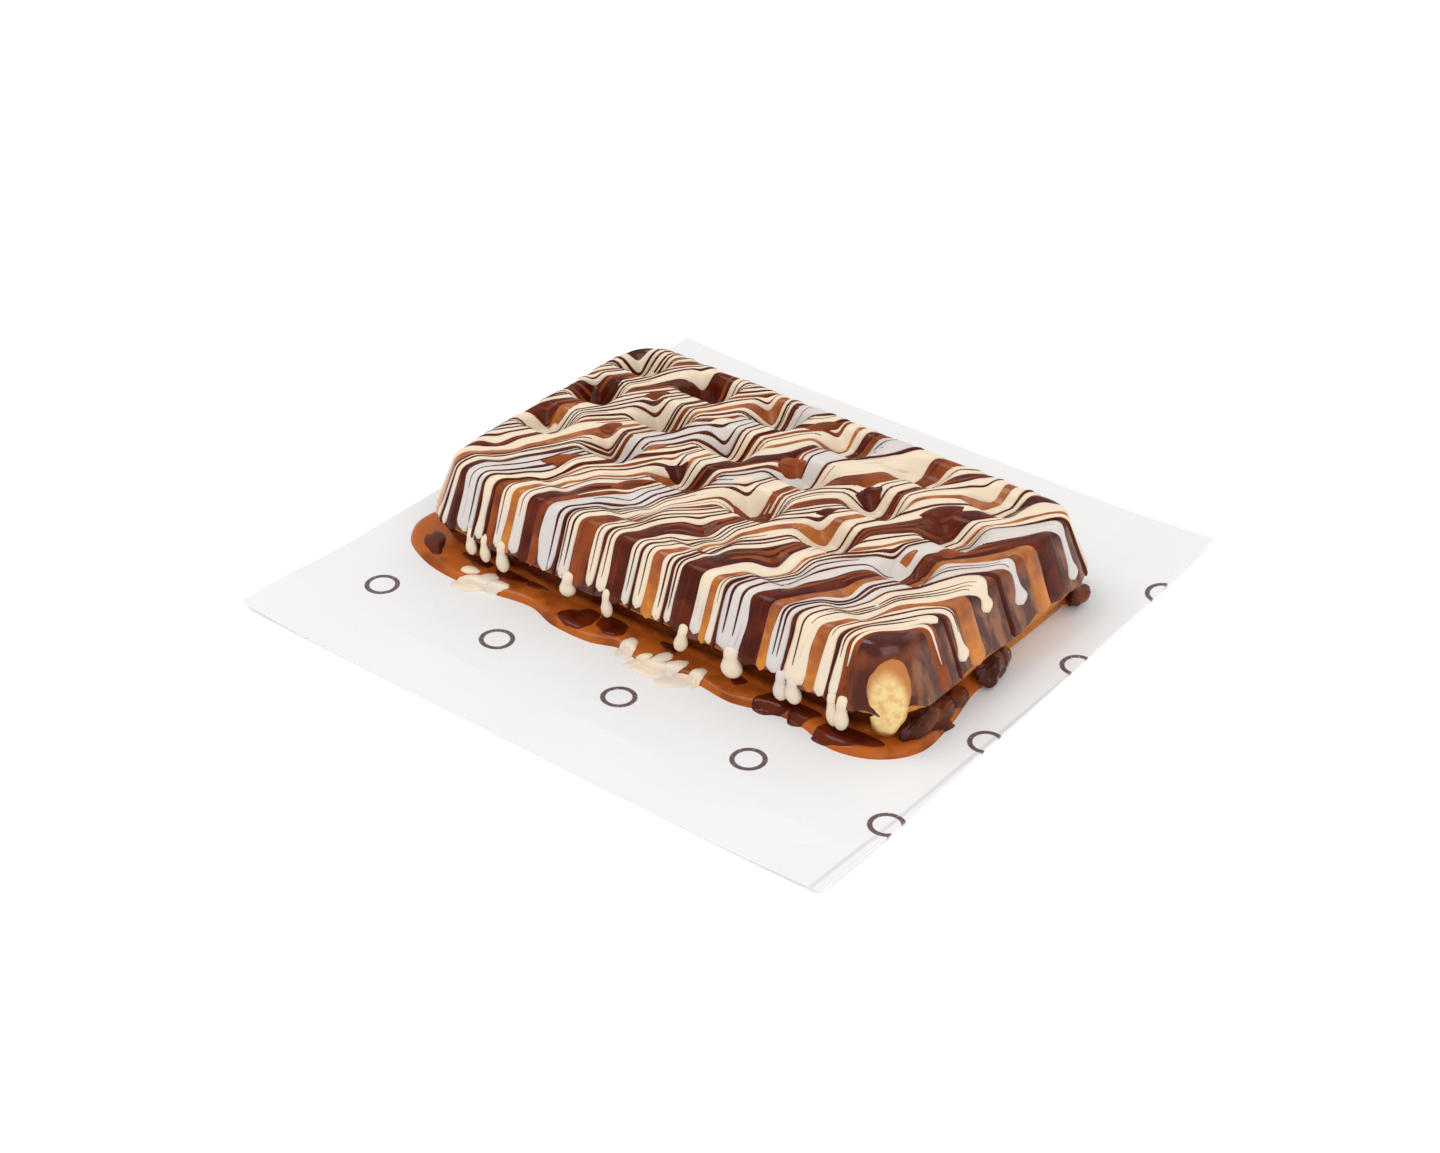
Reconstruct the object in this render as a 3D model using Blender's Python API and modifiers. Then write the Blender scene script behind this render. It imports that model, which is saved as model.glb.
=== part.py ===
"""A rectangular waffle, four rows of six wells, under diagonal chocolate drizzle, on a sheet of paper.

Metres, +Z up. The origin is under the middle of the paper. The waffle's long side runs along X,
and the side with the widest run of spilt sauce faces -Y.
"""

import math

import bmesh
import bpy
from mathutils import Vector

MM = 0.001
COLLECTION = "drizzled_waffle"
CLEARANCE = 0.3 * MM

# Paper sheet: flat under the food, rippled a little beside it, with lifted corners
PAPER_HALF_X = 101.5 * MM
PAPER_HALF_Y = 98.0 * MM
PAPER_THICKNESS = 0.5 * MM
PAPER_CELLS = 22
PAPER_TAPER = 6.0 * MM
PAPER_FLAT_Y = 62.0 * MM
PAPER_RIPPLE = 0.9 * MM
PAPER_RIPPLE_LENGTH = 62.0 * MM
PAPER_CORNER_LIFT = 1.8 * MM
PAPER_CORNER_REACH = 50.0 * MM

# Waffle: the flat top's size, the seam where the iron's plates met, and the foot
WAFFLE_Y = 5.5 * MM
FOOT_Z = PAPER_THICKNESS + CLEARANCE
HEIGHT = 29.5 * MM
TOP_HALF_X = 78.0 * MM
TOP_HALF_Y = 43.8 * MM
CORNER_RADIUS = 9.0 * MM
SEAM_OVERHANG = 7.0 * MM
SEAM_Z = 12.0 * MM
FOOT_OVERHANG = 1.0 * MM
FOOT_HEIGHT = 2.6 * MM
RIM_DROP = 1.3 * MM
RIM_SHOULDER = 0.3 * MM

# Wells: rounded hollows, partly filled with sauce above and bare below
WELL_PITCH_X = 25.7 * MM
WELL_PITCH_Y = 21.5 * MM
WELLS_X = 6
WELLS_Y = 4
WELL_SHIFT_X = -6.0 * MM
WELL_SHIFT_Y = 1.5 * MM
WELL_RIM = 5.0 * MM
WELL_DEPTH = 6.6 * MM
WELL_EDGE = 0.78
WELL_WALL = 0.56
# Share of that depth which the sauce leaves open, front row first
WELL_OPEN = (0.3, 0.9, 1.0, 0.9)
UNDER_DEPTH = 8.0 * MM
UNDER_RIB = 5.5 * MM
UNDER_WALL = 3.2 * MM

# Drizzle: ridges along the grid's diagonal, and the runs that they send down the sides
CELLS_X = 70
CELLS_Y = 31
CELLS_PER_STRAND = 4
STRAND_HEIGHT = 1.0 * MM
STRAND_WOBBLE = 0.5 * MM
WOBBLE_LENGTH = 36.0 * MM
RUN_HEIGHT = 0.9 * MM
RUN_END_SWELL = 1.35

# Runs that hang from the seam towards the spilt sauce: place along the side, length, width
FRONT_DRIPS = (
    (-61.0 * MM, 8.0 * MM, 4.2 * MM),
    (-52.0 * MM, 7.2 * MM, 3.8 * MM),
    (-26.0 * MM, 7.0 * MM, 4.0 * MM),
    (-11.5 * MM, 6.8 * MM, 3.2 * MM),
    (17.5 * MM, 7.2 * MM, 4.0 * MM),
    (31.5 * MM, 7.8 * MM, 5.0 * MM),
    (50.0 * MM, 7.4 * MM, 5.0 * MM),
    (66.5 * MM, 7.6 * MM, 4.6 * MM),
)
DRIP_SEGMENTS = 10
DRIP_RINGS = 8

# Spilt sauce round the foot: its outer edge, from the waffle's middle, and its depth
PUDDLE_DEPTH = 1.9 * MM
PUDDLE_ROUND = 0.8 * MM
PUDDLE_EDGE = (
    (-93, -38), (-89, -49), (-78, -55), (-66, -57), (-52, -56), (-38, -54), (-27, -57), (-14, -57),
    (-4, -54), (8, -57), (20, -54), (34, -55), (46, -52), (56, -52), (68, -55), (80, -51), (87, -41),
    (86, -26), (83, -12), (83, 0), (77, 8), (72, 20), (73, 34), (82, 42), (79, 50), (60, 49),
    (40, 48), (18, 50), (-8, 48), (-34, 50), (-58, 48), (-78, 49), (-87, 40), (-86, 22), (-88, 4),
    (-87, -16),
)

CRUST = (0.50, 0.22, 0.06, 1.0)
SAUCE = (0.33, 0.09, 0.02, 1.0)
PAPER = (0.88, 0.88, 0.88, 1.0)


def clear_scene():
    """Take away whatever the file opened with."""
    for obj in list(bpy.data.objects):
        bpy.data.objects.remove(obj, do_unlink=True)


def make_collection(name):
    """Return a new collection in the scene."""
    collection = bpy.data.collections.new(name)
    bpy.context.scene.collection.children.link(collection)
    return collection


def make_material(name, colour, roughness):
    """Return a plain surface of one colour."""
    material = bpy.data.materials.new(name)
    material.use_nodes = True
    shader = material.node_tree.nodes["Principled BSDF"]
    shader.inputs["Base Color"].default_value = colour
    shader.inputs["Roughness"].default_value = roughness
    return material


def object_from(bm, name, collection, material=None):
    """Turn a bmesh into an object with its faces pointing out."""
    bmesh.ops.recalc_face_normals(bm, faces=bm.faces)
    mesh = bpy.data.meshes.new(name)
    bm.to_mesh(mesh)
    bm.free()
    if material:
        mesh.materials.append(material)
    obj = bpy.data.objects.new(name, mesh)
    collection.objects.link(obj)
    return obj


def hide_tool(obj):
    """Show a cutting shape as wire only."""
    obj.hide_render = True
    obj.display_type = "WIRE"


def eased(value):
    """Rise smoothly from 0 to 1 as the value does."""
    value = min(max(value, 0.0), 1.0)
    return value * value * (3.0 - 2.0 * value)


def well_share(place, pitch, count):
    """Return 0 on the ribs and 1 over the floor of a row of wells."""
    if abs(place) > pitch * count / 2:
        return 0.0
    step = place / pitch + count / 2
    from_middle = abs(step - math.floor(step) - 0.5) * 2
    return eased((WELL_EDGE - from_middle) / WELL_WALL)


def well_depth(x, y):
    """Return how far the sauced surface dips at a point of the top."""
    inset = min(TOP_HALF_X - abs(x), TOP_HALF_Y - abs(y))
    x -= WELL_SHIFT_X
    y -= WELL_SHIFT_Y
    across = well_share(x, WELL_PITCH_X, WELLS_X)
    along = well_share(y, WELL_PITCH_Y, WELLS_Y)
    row = min(max(math.floor(y / WELL_PITCH_Y + WELLS_Y / 2), 0), WELLS_Y - 1)
    return WELL_DEPTH * WELL_OPEN[row] * across * along * eased(inset / WELL_RIM)


def strand_ridge(diagonal):
    """Return a strand's height, from 0 to about 1, on one diagonal of the grid."""
    strand, step = divmod(diagonal, CELLS_PER_STRAND)
    from_crest = min(step, CELLS_PER_STRAND - step) / (CELLS_PER_STRAND / 2)
    return (0.9 + 0.25 * math.sin(1.7 * strand)) * (1.0 - eased(from_crest))


def rounded_corner(x, y):
    """Bend the square corner of the top into a quarter circle, and give the way out of the edge."""
    over_x = abs(x) - (TOP_HALF_X - CORNER_RADIUS)
    over_y = abs(y) - (TOP_HALF_Y - CORNER_RADIUS)
    if over_x <= 0 or over_y <= 0:
        outward = Vector((math.copysign(over_x > over_y, x), math.copysign(over_y >= over_x, y)))
        return x, y, outward
    share_x = over_x / CORNER_RADIUS
    share_y = over_y / CORNER_RADIUS
    bent_x = share_x * math.sqrt(1 - share_y ** 2 / 2)
    bent_y = share_y * math.sqrt(1 - share_x ** 2 / 2)
    outward = Vector((math.copysign(bent_x, x), math.copysign(bent_y, y))).normalized()
    new_x = math.copysign(TOP_HALF_X - CORNER_RADIUS * (1 - bent_x), x)
    new_y = math.copysign(TOP_HALF_Y - CORNER_RADIUS * (1 - bent_y), y)
    return new_x, new_y, outward


def top_height(x, y, diagonal, cells_in):
    """Return the height of the sauced top, with its ribs, wells, drizzle and rounded rim."""
    height = HEIGHT - STRAND_HEIGHT - well_depth(x, y)
    height += STRAND_HEIGHT * strand_ridge(diagonal)
    if cells_in == 0:
        height -= RIM_DROP
    if cells_in == 1:
        height -= RIM_SHOULDER
    return height


def side_levels():
    """Return the side's rings from rim to foot: overhang, height and how strongly the runs show."""
    fall = HEIGHT - SEAM_Z
    return (
        (0.14 * SEAM_OVERHANG, HEIGHT - 0.15 * fall, 1.0),
        (0.36 * SEAM_OVERHANG, HEIGHT - 0.36 * fall, 1.0),
        (0.62 * SEAM_OVERHANG, HEIGHT - 0.60 * fall, 1.0),
        (0.86 * SEAM_OVERHANG, HEIGHT - 0.82 * fall, RUN_END_SWELL),
        (SEAM_OVERHANG, SEAM_Z + 0.5 * MM, 0.5),
        (0.96 * SEAM_OVERHANG, SEAM_Z - 1.4 * MM, 0.0),
        (0.55 * SEAM_OVERHANG, 0.5 * SEAM_Z, 0.0),
        (FOOT_OVERHANG, FOOT_HEIGHT, 0.0),
        (FOOT_OVERHANG, 0.0, 0.0),
    )


def shape_top(bm):
    """Lay the top's grid and give each edge vertex its place, way out and ridge."""
    bmesh.ops.create_grid(bm, x_segments=CELLS_X, y_segments=CELLS_Y, size=0.5)
    rim = {}
    corners = {}
    for vert in bm.verts:
        column = round((vert.co.x + 0.5) * CELLS_X)
        row = round((vert.co.y + 0.5) * CELLS_Y)
        corners[vert] = (column, row)
        x = (2 * column / CELLS_X - 1) * TOP_HALF_X
        y = (2 * row / CELLS_Y - 1) * TOP_HALF_Y
        diagonal = column - row
        cells_in = min(column, row, CELLS_X - column, CELLS_Y - row)
        sway = STRAND_WOBBLE * math.sin(2 * math.pi * (x + y) / WOBBLE_LENGTH + 0.4 * diagonal)
        sway *= eased(cells_in / 3)
        height = top_height(x, y, diagonal, cells_in)
        x, y, outward = rounded_corner(x + sway, y - sway)
        vert.co = (x, y, height)
        if cells_in == 0:
            rim[vert] = (Vector((x, y)), outward, strand_ridge(diagonal))
    for face in list(bm.faces):
        low = min(face.verts, key=lambda vert: sum(corners[vert]))
        high = max(face.verts, key=lambda vert: sum(corners[vert]))
        bmesh.utils.face_split(face, low, high)
    return rim


def drop_sides(bm, rim):
    """Draw the rim down to the foot, ring by ring, and close the underside."""
    for overhang, height, run_share in side_levels():
        edges = [edge for edge in bm.edges if edge.is_boundary]
        grown = bmesh.ops.extrude_edge_only(bm, edges=edges)["geom"]
        next_rim = {}
        for vert in (item for item in grown if isinstance(item, bmesh.types.BMVert)):
            above = next(edge.other_vert(vert) for edge in vert.link_edges if edge.other_vert(vert) in rim)
            place, outward, ridge = rim[above]
            reach = overhang + RUN_HEIGHT * run_share * ridge
            vert.co = (*(place + outward * reach), height)
            next_rim[vert] = rim[above]
        rim = next_rim
    bmesh.ops.holes_fill(bm, edges=[edge for edge in bm.edges if edge.is_boundary], sides=0)


def add_drip(collection, name, place, length, width):
    """Add one hanging run: an ellipsoid that starts inside the seam and ends above the spilt sauce."""
    bm = bmesh.new()
    bmesh.ops.create_uvsphere(bm, u_segments=DRIP_SEGMENTS, v_segments=DRIP_RINGS, radius=1.0)
    for vert in bm.verts:
        slim = 0.78 - 0.22 * vert.co.z
        vert.co.x *= slim * width / 2
        vert.co.y *= slim * width / 2
        vert.co.z *= length / 2
        vert.co += Vector(place)
    return object_from(bm, name, collection)


def join_drips(waffle):
    """Fuse the hanging runs to the waffle and drop their own shapes."""
    drips = make_collection("hanging_runs")
    start = FOOT_Z + SEAM_Z + 1.2 * MM
    front = WAFFLE_Y - TOP_HALF_Y - SEAM_OVERHANG
    for number, (along, length, width) in enumerate(FRONT_DRIPS):
        add_drip(drips, f"front_run_{number}", (along, front, start - length / 2), length, width)
    union = waffle.modifiers.new("fuse_runs", "BOOLEAN")
    union.operation = "UNION"
    union.operand_type = "COLLECTION"
    union.collection = drips
    union.solver = "EXACT"
    fused = bpy.data.meshes.new_from_object(waffle.evaluated_get(bpy.context.evaluated_depsgraph_get()))
    waffle.modifiers.clear()
    waffle.data = fused
    for drip in list(drips.objects):
        bpy.data.objects.remove(drip, do_unlink=True)
    bpy.data.collections.remove(drips)


def add_under_wells(waffle, cutters):
    """Cut the bare wells of the underside with one grid of tapered blocks."""
    bm = bmesh.new()
    for column in range(WELLS_X):
        for row in range(WELLS_Y):
            block = bmesh.ops.create_cube(bm, size=1.0)["verts"]
            middle_x = (column - (WELLS_X - 1) / 2) * WELL_PITCH_X
            middle_y = (row - (WELLS_Y - 1) / 2) * WELL_PITCH_Y
            for vert in block:
                inset = UNDER_WALL if vert.co.z > 0 else 0.0
                half_x = (WELL_PITCH_X - UNDER_RIB) / 2 - inset
                half_y = (WELL_PITCH_Y - UNDER_RIB) / 2 - inset
                vert.co.x = middle_x + math.copysign(half_x, vert.co.x)
                vert.co.y = middle_y + WAFFLE_Y + math.copysign(half_y, vert.co.y)
                vert.co.z = FOOT_Z + (UNDER_DEPTH if vert.co.z > 0 else -UNDER_DEPTH / 4)
    blocks = object_from(bm, "under_well_blocks", cutters)
    hide_tool(blocks)
    cut = waffle.modifiers.new("under_wells", "BOOLEAN")
    cut.operation = "DIFFERENCE"
    cut.solver = "EXACT"
    cut.object = blocks


def build_waffle(parts, cutters, material):
    """Model the waffle with its sauce coat, drizzle, side runs and bare underside."""
    bm = bmesh.new()
    rim = shape_top(bm)
    drop_sides(bm, rim)
    bmesh.ops.translate(bm, verts=bm.verts, vec=(0.0, WAFFLE_Y, FOOT_Z))
    waffle = object_from(bm, "waffle", parts, material)
    join_drips(waffle)
    add_under_wells(waffle, cutters)
    waffle.data.shade_smooth()
    waffle.data.set_sharp_from_angle(angle=math.radians(50))


def foot_block(cutters):
    """Return the foot's outline with its clearance, as a block for cutting the spilt sauce."""
    bm = bmesh.new()
    points = []
    reach = FOOT_OVERHANG + CLEARANCE
    radius = CORNER_RADIUS + reach
    steps = 6
    for quarter in range(4):
        sign_x = 1 if quarter in (0, 3) else -1
        sign_y = 1 if quarter in (0, 1) else -1
        for step in range(steps + 1):
            angle = math.radians(90 * (quarter + step / steps))
            x = sign_x * (TOP_HALF_X - CORNER_RADIUS) + radius * math.cos(angle)
            y = sign_y * (TOP_HALF_Y - CORNER_RADIUS) + radius * math.sin(angle)
            points.append(bm.verts.new((x, y + WAFFLE_Y, FOOT_Z - PUDDLE_DEPTH)))
    face = bm.faces.new(points)
    grown = bmesh.ops.extrude_face_region(bm, geom=[face])["geom"]
    raised = [item for item in grown if isinstance(item, bmesh.types.BMVert)]
    bmesh.ops.translate(bm, verts=raised, vec=(0.0, 0.0, 3 * PUDDLE_DEPTH))
    block = object_from(bm, "foot_block", cutters)
    hide_tool(block)
    return block


def build_puddle(parts, cutters, material):
    """Model the spilt sauce as a smooth flat pool with a rounded edge, cut round the foot."""
    curve = bpy.data.curves.new("puddle_edge", "CURVE")
    curve.dimensions = "2D"
    curve.fill_mode = "BOTH"
    curve.resolution_u = 2
    curve.extrude = PUDDLE_DEPTH / 2 - PUDDLE_ROUND
    curve.bevel_depth = PUDDLE_ROUND
    curve.bevel_resolution = 1
    spline = curve.splines.new("BEZIER")
    spline.bezier_points.add(len(PUDDLE_EDGE) - 1)
    for point, (x, y) in zip(spline.bezier_points, PUDDLE_EDGE):
        point.co = (x * MM, y * MM, 0.0)
        point.handle_left_type = "AUTO"
        point.handle_right_type = "AUTO"
    spline.use_cyclic_u = True
    outline = bpy.data.objects.new("puddle_outline", curve)
    outline.location = (0.0, WAFFLE_Y, FOOT_Z + PUDDLE_DEPTH / 2)
    parts.objects.link(outline)
    bpy.context.view_layer.update()
    seen = outline.evaluated_get(bpy.context.evaluated_depsgraph_get())
    bm = bmesh.new()
    bm.from_mesh(bpy.data.meshes.new_from_object(seen))
    bmesh.ops.remove_doubles(bm, verts=bm.verts, dist=0.01 * MM)
    bmesh.ops.transform(bm, matrix=outline.matrix_world, verts=bm.verts)
    bpy.data.objects.remove(outline, do_unlink=True)
    puddle = object_from(bm, "sauce_puddle", parts, material)
    cut = puddle.modifiers.new("round_the_foot", "BOOLEAN")
    cut.operation = "DIFFERENCE"
    cut.solver = "EXACT"
    cut.object = foot_block(cutters)
    puddle.data.shade_smooth()
    puddle.data.set_sharp_from_angle(angle=math.radians(50))


def paper_lift(x, y):
    """Return how far the paper rises off the table: nothing under the food, a little outside."""
    beside = max(abs(y) - PAPER_FLAT_Y, 0.0) / (PAPER_HALF_Y - PAPER_FLAT_Y)
    wave = 0.5 - 0.5 * math.cos(2 * math.pi * (x + 0.6 * y) / PAPER_RIPPLE_LENGTH)
    ripple = PAPER_RIPPLE * wave * math.sin(math.pi * beside) ** 2
    from_corner = PAPER_HALF_X + PAPER_HALF_Y - abs(x) - abs(y)
    corner = PAPER_CORNER_LIFT * max(1.0 - from_corner / PAPER_CORNER_REACH, 0.0) ** 2
    return ripple + corner


def build_paper(parts, material):
    """Model the sheet as one thin skin, a little narrower at the back."""
    bm = bmesh.new()
    bmesh.ops.create_grid(bm, x_segments=PAPER_CELLS, y_segments=PAPER_CELLS, size=0.5)
    for vert in bm.verts:
        x = 2 * vert.co.x * PAPER_HALF_X
        y = 2 * vert.co.y * PAPER_HALF_Y
        middle_z = PAPER_THICKNESS / 2 + paper_lift(x, y)
        if x > 0:
            x -= PAPER_TAPER * (x / PAPER_HALF_X) * (0.5 + 0.5 * y / PAPER_HALF_Y)
        vert.co = (x, y, middle_z)
    bmesh.ops.triangulate(bm, faces=bm.faces)
    paper = object_from(bm, "paper", parts, material)
    skin = paper.modifiers.new("paper_thickness", "SOLIDIFY")
    skin.thickness = PAPER_THICKNESS
    skin.offset = 0.0
    paper.data.shade_smooth()


def main():
    """Build every part."""
    clear_scene()
    parts = make_collection(COLLECTION)
    cutters = make_collection("cutters")
    build_waffle(parts, cutters, make_material("baked_crust", CRUST, 0.6))
    build_puddle(parts, cutters, make_material("milk_chocolate_sauce", SAUCE, 0.15))
    build_paper(parts, make_material("greaseproof_paper", PAPER, 0.7))


main()
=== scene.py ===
"""A deep-welled waffle under white, milk and dark chocolate drizzle, on a sheet of greaseproof paper.

Lengths are metres, written as millimetres times MM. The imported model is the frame: the paper keeps its
solid, and the baked waffle, its sauces and the spilt pool are modelled here over the same form.
"""

import math
from functools import partial

import bpy
import numpy as np
from bpy.props import FloatProperty, FloatVectorProperty, IntProperty, PointerProperty
from bpy.types import Operator, Panel, PropertyGroup
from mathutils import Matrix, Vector


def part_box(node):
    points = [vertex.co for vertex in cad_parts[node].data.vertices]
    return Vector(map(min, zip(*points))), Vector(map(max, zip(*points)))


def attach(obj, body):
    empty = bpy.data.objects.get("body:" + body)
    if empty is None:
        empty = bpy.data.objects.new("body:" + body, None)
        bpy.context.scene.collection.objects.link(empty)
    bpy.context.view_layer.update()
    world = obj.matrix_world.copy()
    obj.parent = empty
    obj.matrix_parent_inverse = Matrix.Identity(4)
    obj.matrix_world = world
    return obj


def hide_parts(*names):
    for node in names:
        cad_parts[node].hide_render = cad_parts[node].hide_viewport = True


bl_info = {
    "name": "Drizzled Waffle",
    "version": (1, 0, 0),
    "blender": (4, 5, 0),
    "location": "View3D > Sidebar > Waffle",
    "description": "Models a waffle under chocolate drizzle, with its spilt sauce and paper",
    "category": "Add Mesh",
}

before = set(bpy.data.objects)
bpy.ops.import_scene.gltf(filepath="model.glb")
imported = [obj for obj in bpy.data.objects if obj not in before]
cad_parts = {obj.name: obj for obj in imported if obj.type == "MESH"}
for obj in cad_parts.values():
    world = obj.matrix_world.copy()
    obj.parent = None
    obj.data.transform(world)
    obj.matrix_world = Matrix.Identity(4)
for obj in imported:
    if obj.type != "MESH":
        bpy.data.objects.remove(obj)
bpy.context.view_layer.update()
WAFFLE_LOW, WAFFLE_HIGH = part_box("waffle")
PAPER_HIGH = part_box("paper")[1]

MM = 0.001
WHITE = (1.0, 1.0, 1.0, 1.0)

# Waffle: middle, top outline and the side's slope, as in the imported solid
MIDDLE = Vector((0.0, 5.5 * MM, WAFFLE_LOW.z))
CORNER_RADIUS = 9.0 * MM
WELL_PITCH = (25.7 * MM, 21.5 * MM)
WELLS = (6, 4)
WELL_EDGE = 0.78
WELL_WALL = 0.52
WELL_SHIFT = (-6.0 * MM, 1.5 * MM)
WELL_RIM = 5.0 * MM
# How deep each well is under its sauce, against the usual depth: front row first, each from left to right
WELL_FILL = np.array((
    (0.15, 0.25, 0.30, 0.35, 0.35, 0.25),
    (0.80, 1.00, 0.95, 0.85, 0.85, 0.65),
    (1.00, 1.15, 1.05, 0.90, 0.80, 0.70),
    (0.95, 1.15, 1.00, 0.75, 0.60, 0.50),
))
RIB_DROP = 0.8 * MM
SIDE_TURN = math.radians(68.2)
UNDER_TURN = math.radians(122.5)
RIM_BEND = 5.5 * MM
SEAM_BEND = 2.0 * MM
SIDE_LENGTH = 18.9 * MM
PROFILE_STEP = 0.1 * MM

# Drizzle: the step and reach of a traced way, and a strand's section from edge to edge
FLOW_STEP = 0.9 * MM
FLOW_REACH = 165
SEED_INSET = 2.5 * MM
SECTION = 9
SPREAD = np.sin(np.linspace(-0.5, 0.5, SECTION) * math.pi)
CROWN = np.sqrt(np.maximum(1 - np.abs(SPREAD) ** 2.6, 0))
SUNK = 0.1 * MM

SMOOTH_ANGLE = math.radians(60)

# Gloss of the sauces
BROWN_GLOSS = {"Specular_IOR_Level": 0.13, "Coat_Weight": 0.05, "Coat_Roughness": 0.05}
COAT_GLOSS = {"Specular_IOR_Level": 0.3, "Coat_Weight": 0.12, "Coat_Roughness": 0.06}

# Paper: its printed rings and the painted shade line along its fold
RING_PITCH = 44 * MM
RING_RADIUS = 4.3 * MM
RING_STROKE = 1.4 * MM
RING_OFFSET = (0.28, 0.0, 0.0)
CREASE_INSET = 3.2 * MM
PAPER_TOP = 0.5 * MM


def linear(hex_colour):
    """Turn an sRGB hex value into a linear colour."""
    parts = [int(hex_colour[i:i + 2], 16) / 255 for i in (1, 3, 5)]
    return (*[c / 12.92 if c <= 0.04045 else ((c + 0.055) / 1.055) ** 2.4 for c in parts], 1.0)


def length_prop(name, description, millimetres):
    """Return a length property whose default is given in millimetres."""
    return FloatProperty(name=name, description=description, default=millimetres * MM, unit="LENGTH")


def colour_prop(name, description, hex_colour):
    """Return a colour property whose default is given as an sRGB hex value."""
    return FloatVectorProperty(
        name=name, description=description, subtype="COLOR", size=4, min=0, max=1, default=linear(hex_colour)
    )


class WaffleSizes(PropertyGroup):
    """Sizes of the baked waffle and of the sauce that covers it."""

    half_x: length_prop("Half length", "Half of the flat top's length", 78.0)
    half_y: length_prop("Half width", "Half of the flat top's width", 43.8)
    well_depth: length_prop("Well depth", "How deep the sauced wells are", 8.0)
    coat: length_prop("Coat", "Thickness of the sauce coat under the drizzle", 0.8)
    under_depth: length_prop("Underside wells", "Depth of the bare wells below", 8.0)
    crumb_width: length_prop("Crumb width", "Width of the torn spot at the near corner", 12.5)
    crumb_height: length_prop("Crumb height", "Height of the torn spot at the near corner", 22.5)


class DrizzleSizes(PropertyGroup):
    """Sizes of the drizzle."""

    angle: FloatProperty(
        name="Angle", description="Way of the drizzle over the top", default=math.radians(57), subtype="ANGLE"
    )
    sway: FloatProperty(
        name="Sway", description="How far the drizzle's way wanders", default=math.radians(3), subtype="ANGLE"
    )
    height: length_prop("Height", "Height of a white strand over the coat", 0.62)
    slide: length_prop("Slide", "How far the sauce has slid down the walls of the wells", 1.5)
    wander: length_prop("Wander", "How far the strands shift from side to side", 1.25)
    seed: IntProperty(name="Seed", description="Number that the uneven widths are drawn from", default=5)


class PoolSizes(PropertyGroup):
    """Sizes of the spilt sauce."""

    depth: length_prop("Depth", "Depth of the spilt sauce over the paper", 2.1)
    edge: length_prop("Edge", "How far in from its rim the sauce reaches its depth", 2.6)


class FoodColours(PropertyGroup):
    """Colours of the sauces, the crust and the crumb."""

    white: colour_prop("White chocolate", "Warm cream of the white drizzle", "#E5D2B8")
    # The pale tone also serves as painted shade on the white strands down the sides.
    pale: colour_prop("Thin white chocolate", "Cooler tone where the white drizzle is thin", "#CFC8C4")
    milk: colour_prop("Milk chocolate", "Warm brown of the milk drizzle", "#8E441C")
    pool: colour_prop("Spilt milk chocolate", "Warm brown of the pool", "#B05B20")
    dark: colour_prop("Dark chocolate", "Red brown of the dark drizzle", "#431207")
    caramel: colour_prop("Caramel", "Orange where the sauce is thin over the crust", "#C97A22")
    crust: colour_prop("Crust", "Golden brown of the baked batter", "#B87030")
    crust_dark: colour_prop("Dark crust", "Where the iron browned the batter most", "#7A3D16")
    crumb: colour_prop("Crumb", "Pale yellow inside of the waffle", "#E8CC8C")


class PaperColours(PropertyGroup):
    """Colours of the sheet."""

    paper: colour_prop("Paper", "Greaseproof white", "#E6E5E4")
    mark: colour_prop("Mark", "Plum brown of the printed rings", "#5A4044")


def eased(value):
    """Rise smoothly from 0 to 1 as the value does."""
    value = np.clip(value, 0.0, 1.0)
    return value * value * (3.0 - 2.0 * value)


def drift(x, y, length, seed):
    """Return smooth noise from about -1 to 1 that changes over the given length."""
    draw = np.random.default_rng(seed)
    total = np.zeros(np.broadcast(x, y).shape)
    for _ in range(6):
        turn = draw.uniform(0, 2 * math.pi)
        wave = 2 * math.pi / (length * draw.uniform(0.7, 1.8))
        total += np.sin(wave * (x * math.cos(turn) + y * math.sin(turn)) + draw.uniform(0, 2 * math.pi))
    return total / 2.6


def side_profile():
    """Return the way down over the rim and the seam: arc length from the rim, reach and drop."""
    start = -RIM_BEND / 2
    arc = np.arange(start, 36 * MM, PROFILE_STEP)
    turn = SIDE_TURN * eased((arc - start) / RIM_BEND)
    turn += (UNDER_TURN - SIDE_TURN) * eased((arc - SIDE_LENGTH + SEAM_BEND / 2) / SEAM_BEND)
    reach = start + np.concatenate([[0], np.cumsum(np.cos(turn))[:-1]]) * PROFILE_STEP
    drop = np.concatenate([[0], np.cumsum(np.sin(turn))[:-1]]) * PROFILE_STEP
    return arc, reach, drop


PROFILE = side_profile()


def way_out(x, y, sizes):
    """Return how far plan points lie outside the top's outline, and which way out is."""
    over_x = np.abs(x) - (sizes.half_x - CORNER_RADIUS)
    over_y = np.abs(y) - (sizes.half_y - CORNER_RADIUS)
    reach = np.hypot(np.maximum(over_x, 0), np.maximum(over_y, 0))
    distance = reach + np.minimum(np.maximum(over_x, over_y), 0) - CORNER_RADIUS
    corner = (over_x > 0) & (over_y > 0)
    safe = np.maximum(reach, 1e-9)
    out_x = np.where(corner, np.maximum(over_x, 0) / safe, over_x >= over_y) * np.sign(x)
    out_y = np.where(corner, np.maximum(over_y, 0) / safe, over_x < over_y) * np.sign(y)
    return distance, out_x, out_y


def well_share(place, pitch, count):
    """Return 0 on the ribs and 1 over the floor of a row of wells."""
    step = place / pitch + count / 2
    from_middle = np.abs(step - np.floor(step) - 0.5) * 2
    return eased((WELL_EDGE - from_middle) / WELL_WALL) * (np.abs(place) < pitch * count / 2)


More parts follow.
